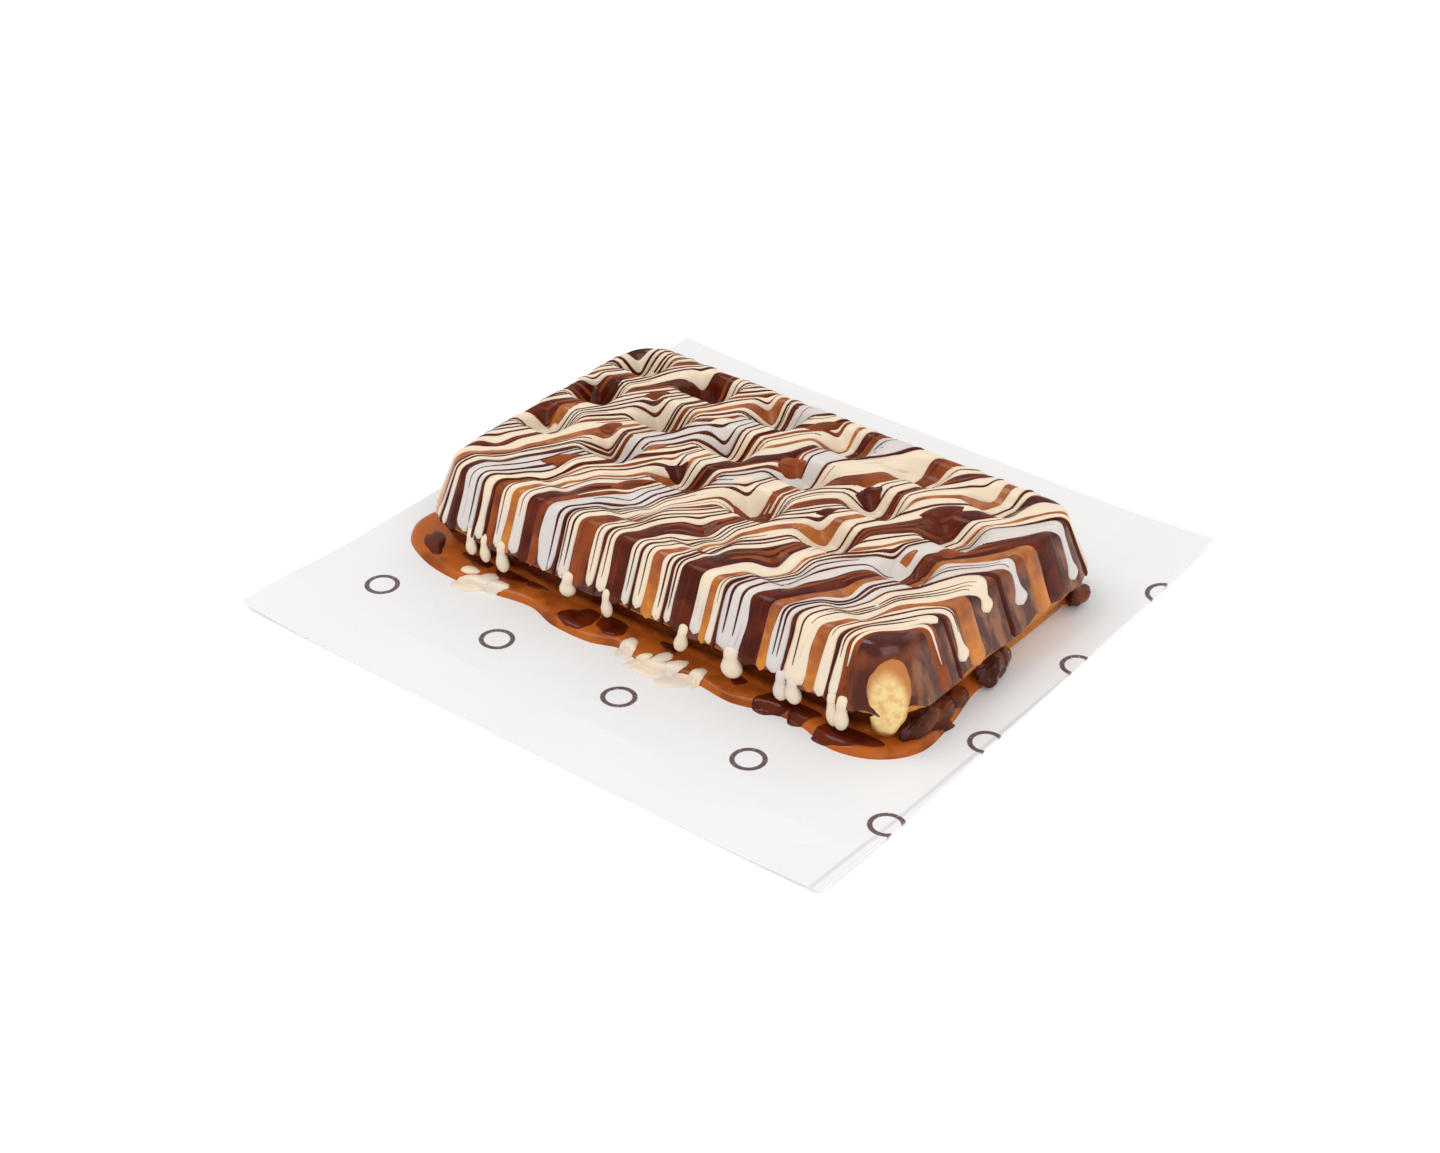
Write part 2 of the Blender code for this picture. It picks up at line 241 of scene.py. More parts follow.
def well_depth(x, y, sizes):
    """Return how far the sauced surface dips, a little differently in each well."""
    inset = eased(-way_out(x, y, sizes)[0] / WELL_RIM)
    x, y = x - WELL_SHIFT[0], y - WELL_SHIFT[1]
    column = np.clip(np.floor(x / WELL_PITCH[0] + WELLS[0] / 2), 0, WELLS[0] - 1).astype(int)
    row = np.clip(np.floor(y / WELL_PITCH[1] + WELLS[1] / 2), 0, WELLS[1] - 1).astype(int)
    share = well_share(x, WELL_PITCH[0], WELLS[0]) * well_share(y, WELL_PITCH[1], WELLS[1]) * inset
    return sizes.well_depth * WELL_FILL[row, column] * share


def fold(x, y, sizes):
    """Lay unrolled plan points on the sauced waffle: on the top, round the rim and down the side."""
    distance, out_x, out_y = way_out(x, y, sizes)
    arc, reach, drop = PROFILE
    moved = np.where(distance > arc[0], np.interp(distance, arc, reach) - distance, 0.0)
    fall = np.where(distance > arc[0], np.interp(distance, arc, drop), 0.0)
    height = WAFFLE_HIGH.z - RIB_DROP - fall - well_depth(x, y, sizes)
    return np.stack([x + out_x * moved + MIDDLE.x, y + out_y * moved + MIDDLE.y, height], axis=-1)


def fold_normal(x, y, sizes):
    """Return the way out of the sauced surface at unrolled plan points."""
    step = 0.15 * MM
    across = fold(x + step, y, sizes) - fold(x - step, y, sizes)
    along = fold(x, y + step, sizes) - fold(x, y - step, sizes)
    normal = np.cross(across, along)
    return normal / np.maximum(np.linalg.norm(normal, axis=-1, keepdims=True), 1e-12)


def deselect_all():
    """Leave edit mode and select nothing."""
    if bpy.context.object and bpy.context.object.mode != "OBJECT":
        bpy.ops.object.mode_set(mode="OBJECT")
    bpy.ops.object.select_all(action="DESELECT")


def places_of(piece):
    """Return the places of a piece's vertices."""
    places = np.empty(len(piece.data.vertices) * 3)
    piece.data.vertices.foreach_get("co", places)
    return places.reshape(-1, 3)


def put_places(piece, *axes):
    """Give a piece's vertices their places, axis by axis."""
    piece.data.vertices.foreach_set("co", np.stack(axes, axis=-1).ravel())
    return piece


def give_values(mesh, **values):
    """Give a mesh's vertices values that its material reads."""
    for key, value in values.items():
        mesh.attributes.new(key, "FLOAT", "POINT").data.foreach_set("value", value.astype(np.float32))


def finish_piece(piece, name, material, replaces=None):
    """Apply a piece's modifiers and place, smooth it, give it its material and set it on the body."""
    deselect_all()
    piece.select_set(True)
    bpy.context.view_layer.objects.active = piece
    for modifier in list(piece.modifiers):
        bpy.ops.object.modifier_apply(modifier=modifier.name)
    bpy.ops.object.transform_apply(location=True, rotation=True, scale=True)
    bpy.ops.object.mode_set(mode="EDIT")
    bpy.ops.mesh.select_all(action="SELECT")
    bpy.ops.mesh.normals_make_consistent(inside=False)
    bpy.ops.object.mode_set(mode="OBJECT")
    bpy.ops.object.shade_smooth_by_angle(angle=SMOOTH_ANGLE)
    piece.name = piece.data.name = name
    piece.data.materials.clear()
    piece.data.materials.append(material)
    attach(piece, "root")
    if replaces:
        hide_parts(replaces)


def add_piece(name, verts, faces, material, slot, replaces=None, **values):
    """Make a mesh piece with per-vertex values and finish it."""
    mesh = bpy.data.meshes.new(name)
    mesh.from_pydata(np.asarray(verts).reshape(-1, 3).tolist(), [], faces)
    give_values(mesh, **values)
    mesh.validate()
    piece = bpy.data.objects.new(name, mesh)
    bpy.context.scene.collection.objects.link(piece)
    finish_piece(piece, name, material, replaces)


def join_pieces(pieces):
    """Join finished shapes of one kind into one object."""
    deselect_all()
    for piece in pieces:
        piece.select_set(True)
    bpy.context.view_layer.objects.active = pieces[0]
    bpy.ops.object.join()
    return bpy.context.object


def sheet_faces(rows, columns, round_rows=False):
    """Return the quads of a grid of vertices, closed round its columns, and round its rows if asked."""
    faces = []
    for r in range(rows if round_rows else rows - 1):
        here, there = r * columns, (r + 1) % rows * columns
        for c in range(columns):
            after = (c + 1) % columns
            faces.append((here + c, here + after, there + after, there + c))
    return faces


# Short names of shader nodes: the node, its options, the inputs that are given in order and the output.
# Any other name is an operation on numbers.
NODE_KINDS = {
    "place": ("TexCoord", {}, (), "Object"),
    "vertex": ("Attribute", {}, (), "Fac"),
    "map": ("Mapping", {}, ("Vector", "Scale", "Location"), 0),
    "noise": ("TexNoise", {}, ("Vector", "Scale", "Detail"), "Fac"),
    "cells": ("TexVoronoi", {}, ("Vector", "Scale"), "Distance"),
    "axis": ("SeparateXYZ", {}, (0,), 0),
    "point": ("CombineXYZ", {}, (0, 1), 0),
    "vector": ("VectorMath", {}, (0, 1), 0),
    "ramp": ("MapRange", {"interpolation_type": "SMOOTHSTEP"}, (0, 1, 2), 0),
    "mix": ("Mix", {"data_type": "RGBA"}, (0, 6, 7), 2),
    "bump": ("Bump", {}, ("Height", "Distance", "Strength"), 0),
}


def node(tree, kind, *inputs, out=None, **options):
    """Add a node, set its options, give its inputs values or links, and return its output."""
    name, usual, sockets, output = NODE_KINDS.get(kind, ("Math", {"operation": kind}, (0, 1), 0))
    made = tree.nodes.new("ShaderNode" + name)
    for key, value in {**usual, **options}.items():
        setattr(made, key, value)
    for socket, value in zip(sockets, inputs):
        if isinstance(value, bpy.types.NodeSocket):
            tree.links.new(value, made.inputs[socket])
        else:
            made.inputs[socket].default_value = value
    return made.outputs[output if out is None else out]


def noise_at(add, size, detail=3.0, stretch=(1, 1, 1), source=None):
    """Return noise whose patches are about the given size."""
    return add("noise", add("map", source or add("place"), [s / size for s in stretch]), 1.0, detail)


def streaks(add):
    """Return noise drawn out along a strand, for the marbling that flow leaves in a sauce."""
    place = add("point", add("vertex", attribute_name="across"), add("vertex", attribute_name="along"))
    return noise_at(add, 1.0, 4.0, (1.0, 0.06, 1.0), place)


def made_material(name, look):
    """Make a material from a function that returns its colour, its normal and its shader's values."""
    material = bpy.data.materials.new(name)
    material.use_nodes = True
    tree = material.node_tree
    shader = tree.nodes["Principled BSDF"]
    colour, normal, values = look(partial(node, tree))
    for socket, link in (("Base Color", colour), ("Normal", normal)):
        if link:
            tree.links.new(link, shader.inputs[socket])
    for key, value in values.items():
        shader.inputs[key.replace("_", " ")].default_value = value
    return material


def white_chocolate(colours, name="white_chocolate_poured", marbled=True):
    """White chocolate sauce, poured and set: soft gloss, slightly see-through, brown marbling, painted shade
    down the sides.
    """
    def look(add):
        thin = add("ramp", noise_at(add, 10 * MM), 0.4, 0.8)
        if marbled:
            # Painted shade: a strand turns towards the pale tone as it runs down the side, where the sides
            # lie in shade; the tone per strand is its real thinness.
            painted_side_shade = add("MULTIPLY", add("ramp", add("vertex", attribute_name="run"), 0.05, 0.5), 0.35)
            thin = add("ramp", add("ADD", add("vertex", attribute_name="tone"), painted_side_shade), 0.3, 1.0)
        base = add("mix", thin, colours.white, colours.pale)
        if marbled:
            base = add("mix", add("MULTIPLY", add("ramp", streaks(add), 0.6, 0.72), 0.3), base, colours.milk)
        return base, add("bump", noise_at(add, 1.6 * MM), 0.06 * MM), {
            "Roughness": 0.34, "IOR": 1.46, "Subsurface_Weight": 0.12, "Subsurface_Scale": 0.6 * MM,
            "Subsurface_Radius": (1.0, 0.7, 0.45),
        }
    return made_material(name, look)


def brown_chocolate(name, main, other, roughness, marbled=True, undercut_shade=None):
    """Poured milk or dark chocolate: wet gloss, clouded where two ran together, with painted shade up the
    undercut wall.
    """
    def look(add):
        share = add("ramp", noise_at(add, 9 * MM), 0.42, 0.66)
        if marbled:
            share = add("MULTIPLY", add("ADD", share, add("ramp", streaks(add), 0.45, 0.75)), 0.5)
        base = add("mix", share, main, other)
        # Painted shade: the sauce darkens from 5 to 9.5 mm up, where it rises into the shade under the seam.
        if undercut_shade:
            uneven = add("MULTIPLY", noise_at(add, 6 * MM), 4 * MM)
            height = add("ADD", add("axis", add("place"), out="Z"), uneven)
            base = add("mix", add("ramp", height, 5 * MM, 9.5 * MM), base, undercut_shade)
        return base, add("bump", noise_at(add, 2.4 * MM), 0.08 * MM), {"Roughness": roughness, **BROWN_GLOSS}
    return made_material(name, look)


def thin_caramel(colours):
    """Thin sauce over crust: brown at the rim, clear orange where it has drained down the side."""
    def look(add):
        low = add("ramp", add("vertex", attribute_name="run"), 0.1, 0.9)
        share = add("MULTIPLY", add("ADD", low, add("ramp", noise_at(add, 5 * MM), 0.35, 0.7)), 0.55)
        base = add("mix", share, colours.milk, colours.caramel)
        return base, add("bump", noise_at(add, 2.0 * MM), 0.08 * MM), {"Roughness": 0.2, **COAT_GLOSS}
    return made_material("milk_chocolate_thin_over_crust", look)


def sauce_coat(colours):
    """Mixed brown sauces over crust: wet gloss, streaked down the sides and greyer on the right one."""
    def look(add):
        streak = add("ramp", noise_at(add, 4 * MM, 3.0, (1.0, 1.0, 0.16)), 0.42, 0.66)
        brown = add("mix", streak, linear("#4A1809"), linear("#7A3616"))
        grey = add("mix", streak, linear("#4A1E10"), linear("#8A5638"))
        side = add("mix", add("ramp", add("axis", add("place"), out="X"), 74 * MM, 79 * MM), brown, grey)
        top = add("mix", add("ramp", noise_at(add, 12 * MM), 0.42, 0.62), colours.dark, linear("#7A3A1A"))
        base = add("mix", add("ramp", add("axis", add("place"), out="Z"), 22 * MM, 27 * MM), side, top)
        return base, None, {"Roughness": 0.16, **COAT_GLOSS}
    return made_material("dark_and_milk_chocolate_coat", look)


def baked_crust(colours):
    """Waffle batter baked in an iron: dry, finely pitted, darkest where it touched the metal."""
    def look(add):
        patches = add("ramp", noise_at(add, 14 * MM, 4.0), 0.35, 0.68)
        grain = add("ramp", noise_at(add, 1.1 * MM, 4.0), 0.4, 0.75)
        base = add("mix", patches, colours.crust, colours.caramel)
        base = add("mix", add("MULTIPLY", grain, 0.5), base, colours.crust_dark)
        relief = add("ADD", add("cells", add("place"), 1 / (1.8 * MM)), noise_at(add, 0.7 * MM))
        return base, add("bump", relief, 0.25 * MM, 0.7), {"Roughness": 0.62, "IOR": 1.45}
    return made_material("waffle_batter_baked", look)


def torn_crumb(colours):
    """Soft inside of the waffle, torn open: pale, porous and matt, browned at its border."""
    def look(add):
        open_air = add("ramp", noise_at(add, 2.2 * MM, 5.0), 0.42, 0.68)
        base = add("mix", add("MULTIPLY", open_air, 0.45), colours.crumb, colours.caramel)
        base = add("mix", add("ramp", add("vertex", attribute_name="border"), 0.6, 1.0), base, colours.crust)
        return base, add("bump", noise_at(add, 0.9 * MM, 5.0), 0.4 * MM, 0.8), {
            "Roughness": 0.7, "Subsurface_Weight": 0.15, "Subsurface_Scale": 1.0 * MM,
        }
    return made_material("waffle_crumb_torn", look)


def greaseproof_paper(colours):
    """Calendered greaseproof paper: matt white, faintly waved, with small printed rings and a painted shade
    line at a fold.
    """
    def look(add):
        place = add("place")
        cell = add("map", place, [1 / RING_PITCH] * 3, RING_OFFSET)
        flat = add("vector", cell, (1, 1, 0), operation="MULTIPLY")
        part = add("vector", add("vector", flat, operation="FRACTION"), (0.5, 0.5, 0), operation="SUBTRACT")
        far = add("vector", part, operation="LENGTH", out="Value")
        off = add("ABSOLUTE", add("SUBTRACT", far, RING_RADIUS / RING_PITCH))
        stroke = RING_STROKE / RING_PITCH
        ring = add("SUBTRACT", 1.0, add("ramp", off, 0.4 * stroke, 0.6 * stroke))
        fibre = add("MULTIPLY", add("ramp", noise_at(add, 0.8 * MM, 4.0), 0.2, 0.8), 0.25)
        sheet = add("mix", fibre, colours.paper, linear("#DEDEE0"))
        # Painted shade: a grey line along the fold near the right edge
        past_crease = add("SUBTRACT", add("axis", place, out="X"), PAPER_HIGH.x - CREASE_INSET)
        from_crease = add("ABSOLUTE", past_crease)
        crease_shade = add("SUBTRACT", 1.0, add("ramp", from_crease, 0.2 * MM, 0.9 * MM))
        sheet = add("mix", add("MULTIPLY", crease_shade, 0.5), sheet, linear("#BDBBBC"))
        worn = add("MULTIPLY", ring, add("ramp", noise_at(add, 0.7 * MM), 0.1, 0.45))
        fine = add("MULTIPLY", noise_at(add, 0.6 * MM, 3.0), 0.01)
        waves = add("ADD", noise_at(add, 38 * MM, 2.0, (1.0, 0.5, 1.0)), fine)
        return add("mix", worn, sheet, colours.mark), add("bump", waves, 2.2 * MM, 0.6), {
            "Roughness": 0.55, "IOR": 1.5, "Sheen_Weight": 0.1,
        }
    return made_material("greaseproof_paper_calendered", look)


def studio_floor():
    """Seamless white studio paper, matt and faintly lit from below so that it stays white."""
    values = {"Base_Color": WHITE, "Roughness": 0.9, "Emission_Color": WHITE, "Emission_Strength": 0.12}
    return made_material("white_studio_floor", lambda add: (None, None, values))


# Drizzle, from left to right: where each strand ends along the front rim's line in millimetres, and its
# sauce. The strands left of the rim's start enter over the left rim. W is white, P thin white, L a fine dark
# line, D dark, M milk and C thin sauce over crust.
LANES_START = -147.0
LANES = (
    (-143.0, "W"), (-140.5, "D"), (-138.0, "W"), (-137.2, "L"), (-134.4, "P"), (-130.2, "W"),
    (-127.6, "D"), (-124.4, "W"), (-123.4, "L"), (-119.0, "W"), (-117.0, "D"), (-114.8, "W"),
    (-109.8, "D"), (-107.2, "W"), (-106.2, "L"), (-103.8, "W"), (-98.6, "D"), (-95.6, "W"),
    (-94.8, "L"), (-92.0, "W"), (-91.0, "L"), (-88.0, "W"), (-87.0, "L"), (-85.0, "W"), (-81.6, "D"),
    (-78.5, "W"), (-74.6, "C"), (-73.2, "W"), (-72.4, "L"), (-70.9, "W"), (-68.2, "D"), (-62.0, "P"),
    (-61.0, "L"), (-58.0, "W"), (-57.0, "L"), (-54.0, "M"), (-51.0, "W"), (-48.0, "C"), (-45.0, "W"),
    (-41.0, "D"), (-38.0, "M"), (-31.6, "P"), (-30.4, "L"), (-26.0, "W"), (-20.0, "M"), (-16.8, "W"),
    (-15.8, "L"), (-13.0, "W"), (-7.0, "D"), (-4.2, "W"), (-3.3, "L"), (0.0, "W"), (4.0, "C"),
    (7.0, "W"), (8.0, "L"), (10.0, "W"), (17.0, "D"), (20.5, "W"), (23.0, "C"), (25.0, "W"),
    (26.0, "L"), (34.0, "P"), (40.0, "D"), (43.0, "C"), (48.0, "P"), (49.1, "L"), (55.5, "W"),
    (59.5, "C"), (62.5, "W"), (63.6, "L"), (66.0, "W"), (69.0, "M"), (72.0, "W"), (77.0, "D"),
)
STRAND_HEIGHTS = {"W": 1.0, "P": 0.9, "L": 1.12, "D": 0.5, "M": 0.56, "C": 0.42}
# How much wider than its lane a strand spreads on the flat top
TOP_SPREAD = {"W": 1.42, "P": 1.15, "L": 0.85, "D": 0.95, "M": 1.0, "C": 1.0}
# White strands that run down the right side: first and last place at the front rim, and how far past the
# rim they run, in millimetres. The other white strands there stop at the rim.
RIGHT_RUNS = (
    (59.0, 63.0, 15.2), (49.0, 55.6, 8.0), (43.0, 48.5, 12.6), (25.9, 34.0, 16.5), (23.0, 25.1, 17.5),
)
RIGHT_LANES = 17.5
RUN_WIDTH = 2.3 * MM
# Thin lines that run some way along a strand: sauce of the strand, of the line, its width in millimetres and
# the least share of the strand at which it starts
VEINS = {"W": ("L", 1.2, 0.01), "P": ("L", 1.5, 0.01), "D": ("M", 1.7, 0.2), "M": ("W", 1.7, 0.2)}
VEIN_SPACING = 3.0 * MM
VEINED_LENGTH = 30 * MM
VEIN_LEAST = 9 * MM
VEIN_RISE = 1.06
VEIN_PROUD = 0.1 * MM
# Where the sauces open to a lens over a well: middle from the waffle's middle, length and width in
# millimetres, and sauce
LENSES = (
    (-53.2, 20.2, 9, 4.4, "M"), (-52.1, -1.8, 7.5, 3.6, "M"), (-51.2, -24.6, 13, 5, "M"),
    (-27.0, -22.8, 11, 4.2, "M"), (-70.0, -2.5, 11, 4, "C"), (-69.4, 18.0, 11, 4, "D"),
    (-49.8, 34.6, 11, 6, "D"), (-46.5, 9.1, 10, 4.5, "D"), (-28.5, 19.6, 8, 4, "W"),
    (-33.7, -3.1, 8, 4, "C"), (-25.0, -5.4, 8, 3.6, "D"), (-3.3, -1.4, 8, 3.6, "W"),
    (6.0, -8.2, 9, 5, "M"), (-4.0, 36.0, 11, 4.5, "M"), (0.7, 15.5, 9, 6, "M"), (27.0, 16.4, 9, 5, "D"),
    (25.1, -0.5, 7, 3.6, "D"), (49.9, 19.0, 14, 6, "D"), (54.4, -3.7, 7, 3, "C"),
    (63.4, 3.2, 9, 5, "M"), (38.7, 12.8, 8, 5, "M"),
)
LENS_HEIGHT = 0.82 * MM


def strand_list():
    """Return the strands as first edge, last edge and sauce."""
    starts = (LANES_START, *[end for end, sauce in LANES[:-1]])
    return [(start, end, sauce) for start, (end, sauce) in zip(starts, LANES)]


def trace(start_x, start_y, forward, sizes, drizzle):
    """Follow the drizzle's way from many points at once, turning straight down past the rim."""
    x, y = start_x, start_y
    path = [(x, y)]
    for _ in range(FLOW_REACH):
        distance, out_x, out_y = way_out(x, y, sizes)
        turn = eased((distance + 2.5 * MM) / (5.5 * MM))
        angle = drizzle.angle + drizzle.sway * drift(x, y, 42 * MM, drizzle.seed)
        step_x = forward * np.cos(angle) * (1 - turn) + out_x * turn
        step_y = forward * np.sin(angle) * (1 - turn) + out_y * turn
        size = np.hypot(step_x, step_y)
        x = x + FLOW_STEP * step_x / size
        y = y + FLOW_STEP * step_y / size
        path.append((x, y))
    return np.array(path)


def cut_path(path, end, sizes):
    """Return one traced way up to a given distance past the rim."""
    distance = way_out(path[:, 0], path[:, 1], sizes)[0]
    past = np.nonzero(distance >= end)[0]
    last = past[0] if len(past) else len(path) - 1
    if last == 0:
        return path[:1]
    before, after = distance[last - 1], distance[last]
    share = min(max((end - before) / max(after - before, 1e-9), 0.0), 1.0)
    tip = path[last - 1] + (path[last] - path[last - 1]) * share
    return np.vstack([path[:last], tip])


def resample(path, count):
    """Return evenly spaced points along a way."""
    steps = np.linalg.norm(np.diff(path, axis=0), axis=1)
    along = np.concatenate([[0], np.cumsum(steps)])
    places = np.linspace(0, along[-1], count)
    return np.stack([np.interp(places, along, path[:, 0]), np.interp(places, along, path[:, 1])], axis=-1)


def lane_start(place, sizes, drizzle):
    """Return where a straight lane has come well inside the top's outline, or None if it misses the top."""
    reach = np.linspace(-20 * MM, 220 * MM, 960)
    x = place + reach * math.cos(drizzle.angle)
    y = -sizes.half_y + reach * math.sin(drizzle.angle)
    inside = np.nonzero(way_out(x, y, sizes)[0] < -SEED_INSET)[0]
    return (x[inside[0]], y[inside[0]]) if len(inside) > 4 else None


def strand_ends(middle, sauce, draw):
    """Return how far past the rim a strand runs at either end, and its far end's share of its width.

    The share is None for a run that narrows to a thread and hangs in a drop.
    """
    if sauce not in "WP":
        return SIDE_LENGTH, SIDE_LENGTH, 1.0
    near = SIDE_LENGTH - draw.uniform(0.2, 1.8) * MM
    far = SIDE_LENGTH - draw.uniform(0.5, 4.0) * MM
    if middle < RIGHT_LANES:
        return near, far, 1.0
    for low, high, reach in RIGHT_RUNS:
        if low <= middle <= high:
            return near, reach * MM, None
    return near, draw.uniform(1.0, 4.0) * MM, 0.8


def slid(place, sizes, drizzle):
    """Shift plan points from side to side, and towards the middle of their well down its walls."""
    x, y = place[..., 0], place[..., 1]
    turn_x = 2 * math.pi * ((x - WELL_SHIFT[0]) / WELL_PITCH[0] + WELLS[0] / 2)
    turn_y = 2 * math.pi * ((y - WELL_SHIFT[1]) / WELL_PITCH[1] + WELLS[1] / 2)
    inset = eased(-way_out(x, y, sizes)[0] / WELL_RIM)
    move_x = np.sin(turn_x) * (0.5 - 0.5 * np.cos(turn_y))
    move_y = np.sin(turn_y) * (0.5 - 0.5 * np.cos(turn_x))
    side = drizzle.wander * drift(x, y, 19 * MM, drizzle.seed + 2)
    return (x + inset * (drizzle.slide * move_x - side * math.sin(drizzle.angle)),
            y + inset * (drizzle.slide * move_y + side * math.cos(drizzle.angle)))


def laid(x, y, rise, sizes, width, along, offset, tone):
    """Lay a rounded ribbon of plan points on the sauced waffle.

    It comes with what its material reads: how far down the side each vertex is, its places across and along
    in millimetres, and the ribbon's tone.
    """
    normal = fold_normal(x, y, sizes)
    ground = fold(x, y, sizes)
    top = ground + normal * (np.outer(rise, CROWN) - SUNK)[..., None]
    under = ground[:, [-1, 0]] - normal[:, [-1, 0]] * 0.5 * MM
    rows, columns = len(x), SECTION + 2
    faces = sheet_faces(rows, columns)
    faces.append(tuple(range(columns)))
    faces.append(tuple((rows - 1) * columns + c for c in reversed(range(columns))))
    run = np.clip(way_out(x, y, sizes)[0] / SIDE_LENGTH, 0, 1)
    run = np.concatenate([run, run[:, [-1, 0]]], axis=1)
    across = np.concatenate([SPREAD, SPREAD[[-1, 0]]]) * width / 2 / MM + offset
    values = (run, np.broadcast_to(across, run.shape), np.broadcast_to(along[:, None] / MM, run.shape))
    verts = np.concatenate([top, under], axis=1).reshape(-1, 3)
    return verts, faces, *[value.ravel() for value in values], np.full(run.size, tone)


def between(lines, reach):
    """Return plan points that lie at a share of the way from a strand's middle to its edges."""
    left, centre, right = lines
    reach = reach[..., None]
    return (centre[:, None] + reach * (right - left)[:, None] / 2
            + reach ** 2 * (right + left - 2 * centre)[:, None] / 2)


def strand_mesh(first, last, sauce, sizes, drizzle, draw):
    """Loft one strand with round edges and ends, and return it with its ways, or None off the top."""
    middle = (first + last) / 2
    seeds = [lane_start(place * MM, sizes, drizzle) for place in (first, middle, last)]
    near, far, narrow = strand_ends(middle, sauce, draw)
    hanging = narrow is None
    white = sauce in "WP"
    crest = STRAND_HEIGHTS[sauce] * drizzle.height * draw.uniform(0.85, 1.1)
    fullness = draw.uniform(1.0, 1.14) if white else 0.9 if sauce == "L" else 1.04
    tone = {"W": draw.uniform(0.0, 0.5), "P": draw.uniform(0.75, 0.95)}.get(sauce, 0.0)
    if None in seeds:
        return None
    seeds = np.array(seeds)
    ahead = trace(seeds[:, 0], seeds[:, 1], 1, sizes, drizzle)
    back = trace(seeds[:, 0], seeds[:, 1], -1, sizes, drizzle)
    lines = [
        np.vstack([cut_path(back[:, :, k], near, sizes)[::-1], cut_path(ahead[:, :, k], far, sizes)[1:]])
        for k in range(3)
    ]
    length = np.mean([np.linalg.norm(np.diff(line, axis=0), axis=1).sum() for line in lines])
    rows = max(int(length / FLOW_STEP), 12)
    lines = [resample(line, rows) for line in lines]
    along = np.linspace(0, length, rows)
    from_end = np.minimum(along, length - along)
    widths = np.linalg.norm(lines[2] - lines[0], axis=1)
    width = np.mean(widths)

    # Wider on the flat top, and narrower past the far rim, where a hanging run ends in a drop
    past_rim = way_out(lines[1][:, 0], lines[1][:, 1], sizes)[0]
    on_top = 1 - eased((past_rim + 6.5 * MM) / (7 * MM))
    on_far = eased((past_rim + 3 * MM) / (7 * MM)) * (along > length / 2)
    fullness = fullness * (1 + (TOP_SPREAD[sauce] - 1) * on_top)
    if hanging:
        fullness += (np.minimum(RUN_WIDTH / widths, 1.0) - fullness) * on_far
        fullness *= 1 + np.exp(-((length - along - 2.0 * MM) / (1.9 * MM)) ** 2)
    else:
        fullness *= 1 + (narrow - 1) * on_far
    blunt = 0.3 * np.minimum(width, RUN_WIDTH if hanging else width) + 0.6 * MM
    round_end = np.sqrt(np.clip(1 - (1 - np.minimum(from_end / blunt, 1)) ** 2, 0.03, 1))
    uneven = drift(along, np.full(rows, middle * MM), 15 * MM, drizzle.seed + 1)
    waver = 1 + (0.17 if white else 0.05) * uneven
    swell = 1 + (0.9 if hanging else 0.25) * np.exp(-((from_end - 2.4 * MM) / (1.8 * MM)) ** 2)
    half = np.clip(fullness * waver, 0.1, 1.6) * round_end * (1 + 0.2 * (np.minimum(swell, 1.25) - 1))
    place = between(lines, np.outer(half, SPREAD))
    rise = crest * swell * (0.35 + 0.65 * round_end) * (0.9 + 0.1 * waver)
    strand = laid(*slid(place, sizes, drizzle), rise, sizes, width, along, middle * 3, tone)
    return strand, (lines, along, widths, crest * VEIN_RISE + VEIN_PROUD)


def vein_mesh(way, share, low, high, width, sizes, drizzle):
    """Loft one thin line along a strand, from a low to a high share of its length, pointed at both ends."""
    lines, along, widths, crest = way
    part = slice(int(low * len(along)), int(high * len(along)))
    lines, along, widths = [line[part] for line in lines], along[part], widths[part]
    point = np.sin(np.linspace(0.02, 0.98, len(along)) * math.pi) ** 0.6
    place = between(lines, share + np.outer(width / widths * point, SPREAD))
    rise = (0.9 + 0.1 * point) * crest
    return laid(*slid(place, sizes, drizzle), rise, sizes, width, along, share * 9, 0.4)


def lens_mesh(place_x, place_y, length, width, sizes, drizzle):
    """Lay one lens of sauce over the strands, drawn out along their way."""
    along = np.linspace(-0.5, 0.5, max(int(length / FLOW_STEP * 1.6), 9))
    point = np.cos(along * math.pi * 0.98) ** 0.8
    off = np.outer(point * width / 2, SPREAD)
    x = place_x + along[:, None] * length * math.cos(drizzle.angle) - off * math.sin(drizzle.angle)
    y = place_y + along[:, None] * length * math.sin(drizzle.angle) + off * math.cos(drizzle.angle)
    rise = (0.4 + 0.6 * np.sqrt(point)) * LENS_HEIGHT
    return laid(x, y, rise, sizes, width, along * length, place_x / MM, 0.3)


def join_strands(strands):
    """Put several strands' vertices, faces and values in one mesh."""
    verts, faces, *values = zip(*strands)
    starts = np.cumsum([0, *map(len, verts)]).tolist()
    moved = [tuple(i + start for i in face) for start, part in zip(starts, faces) for face in part]
    names = ("run", "across", "along", "tone")
    return np.vstack(verts), moved, {name: np.concatenate(value) for name, value in zip(names, values)}


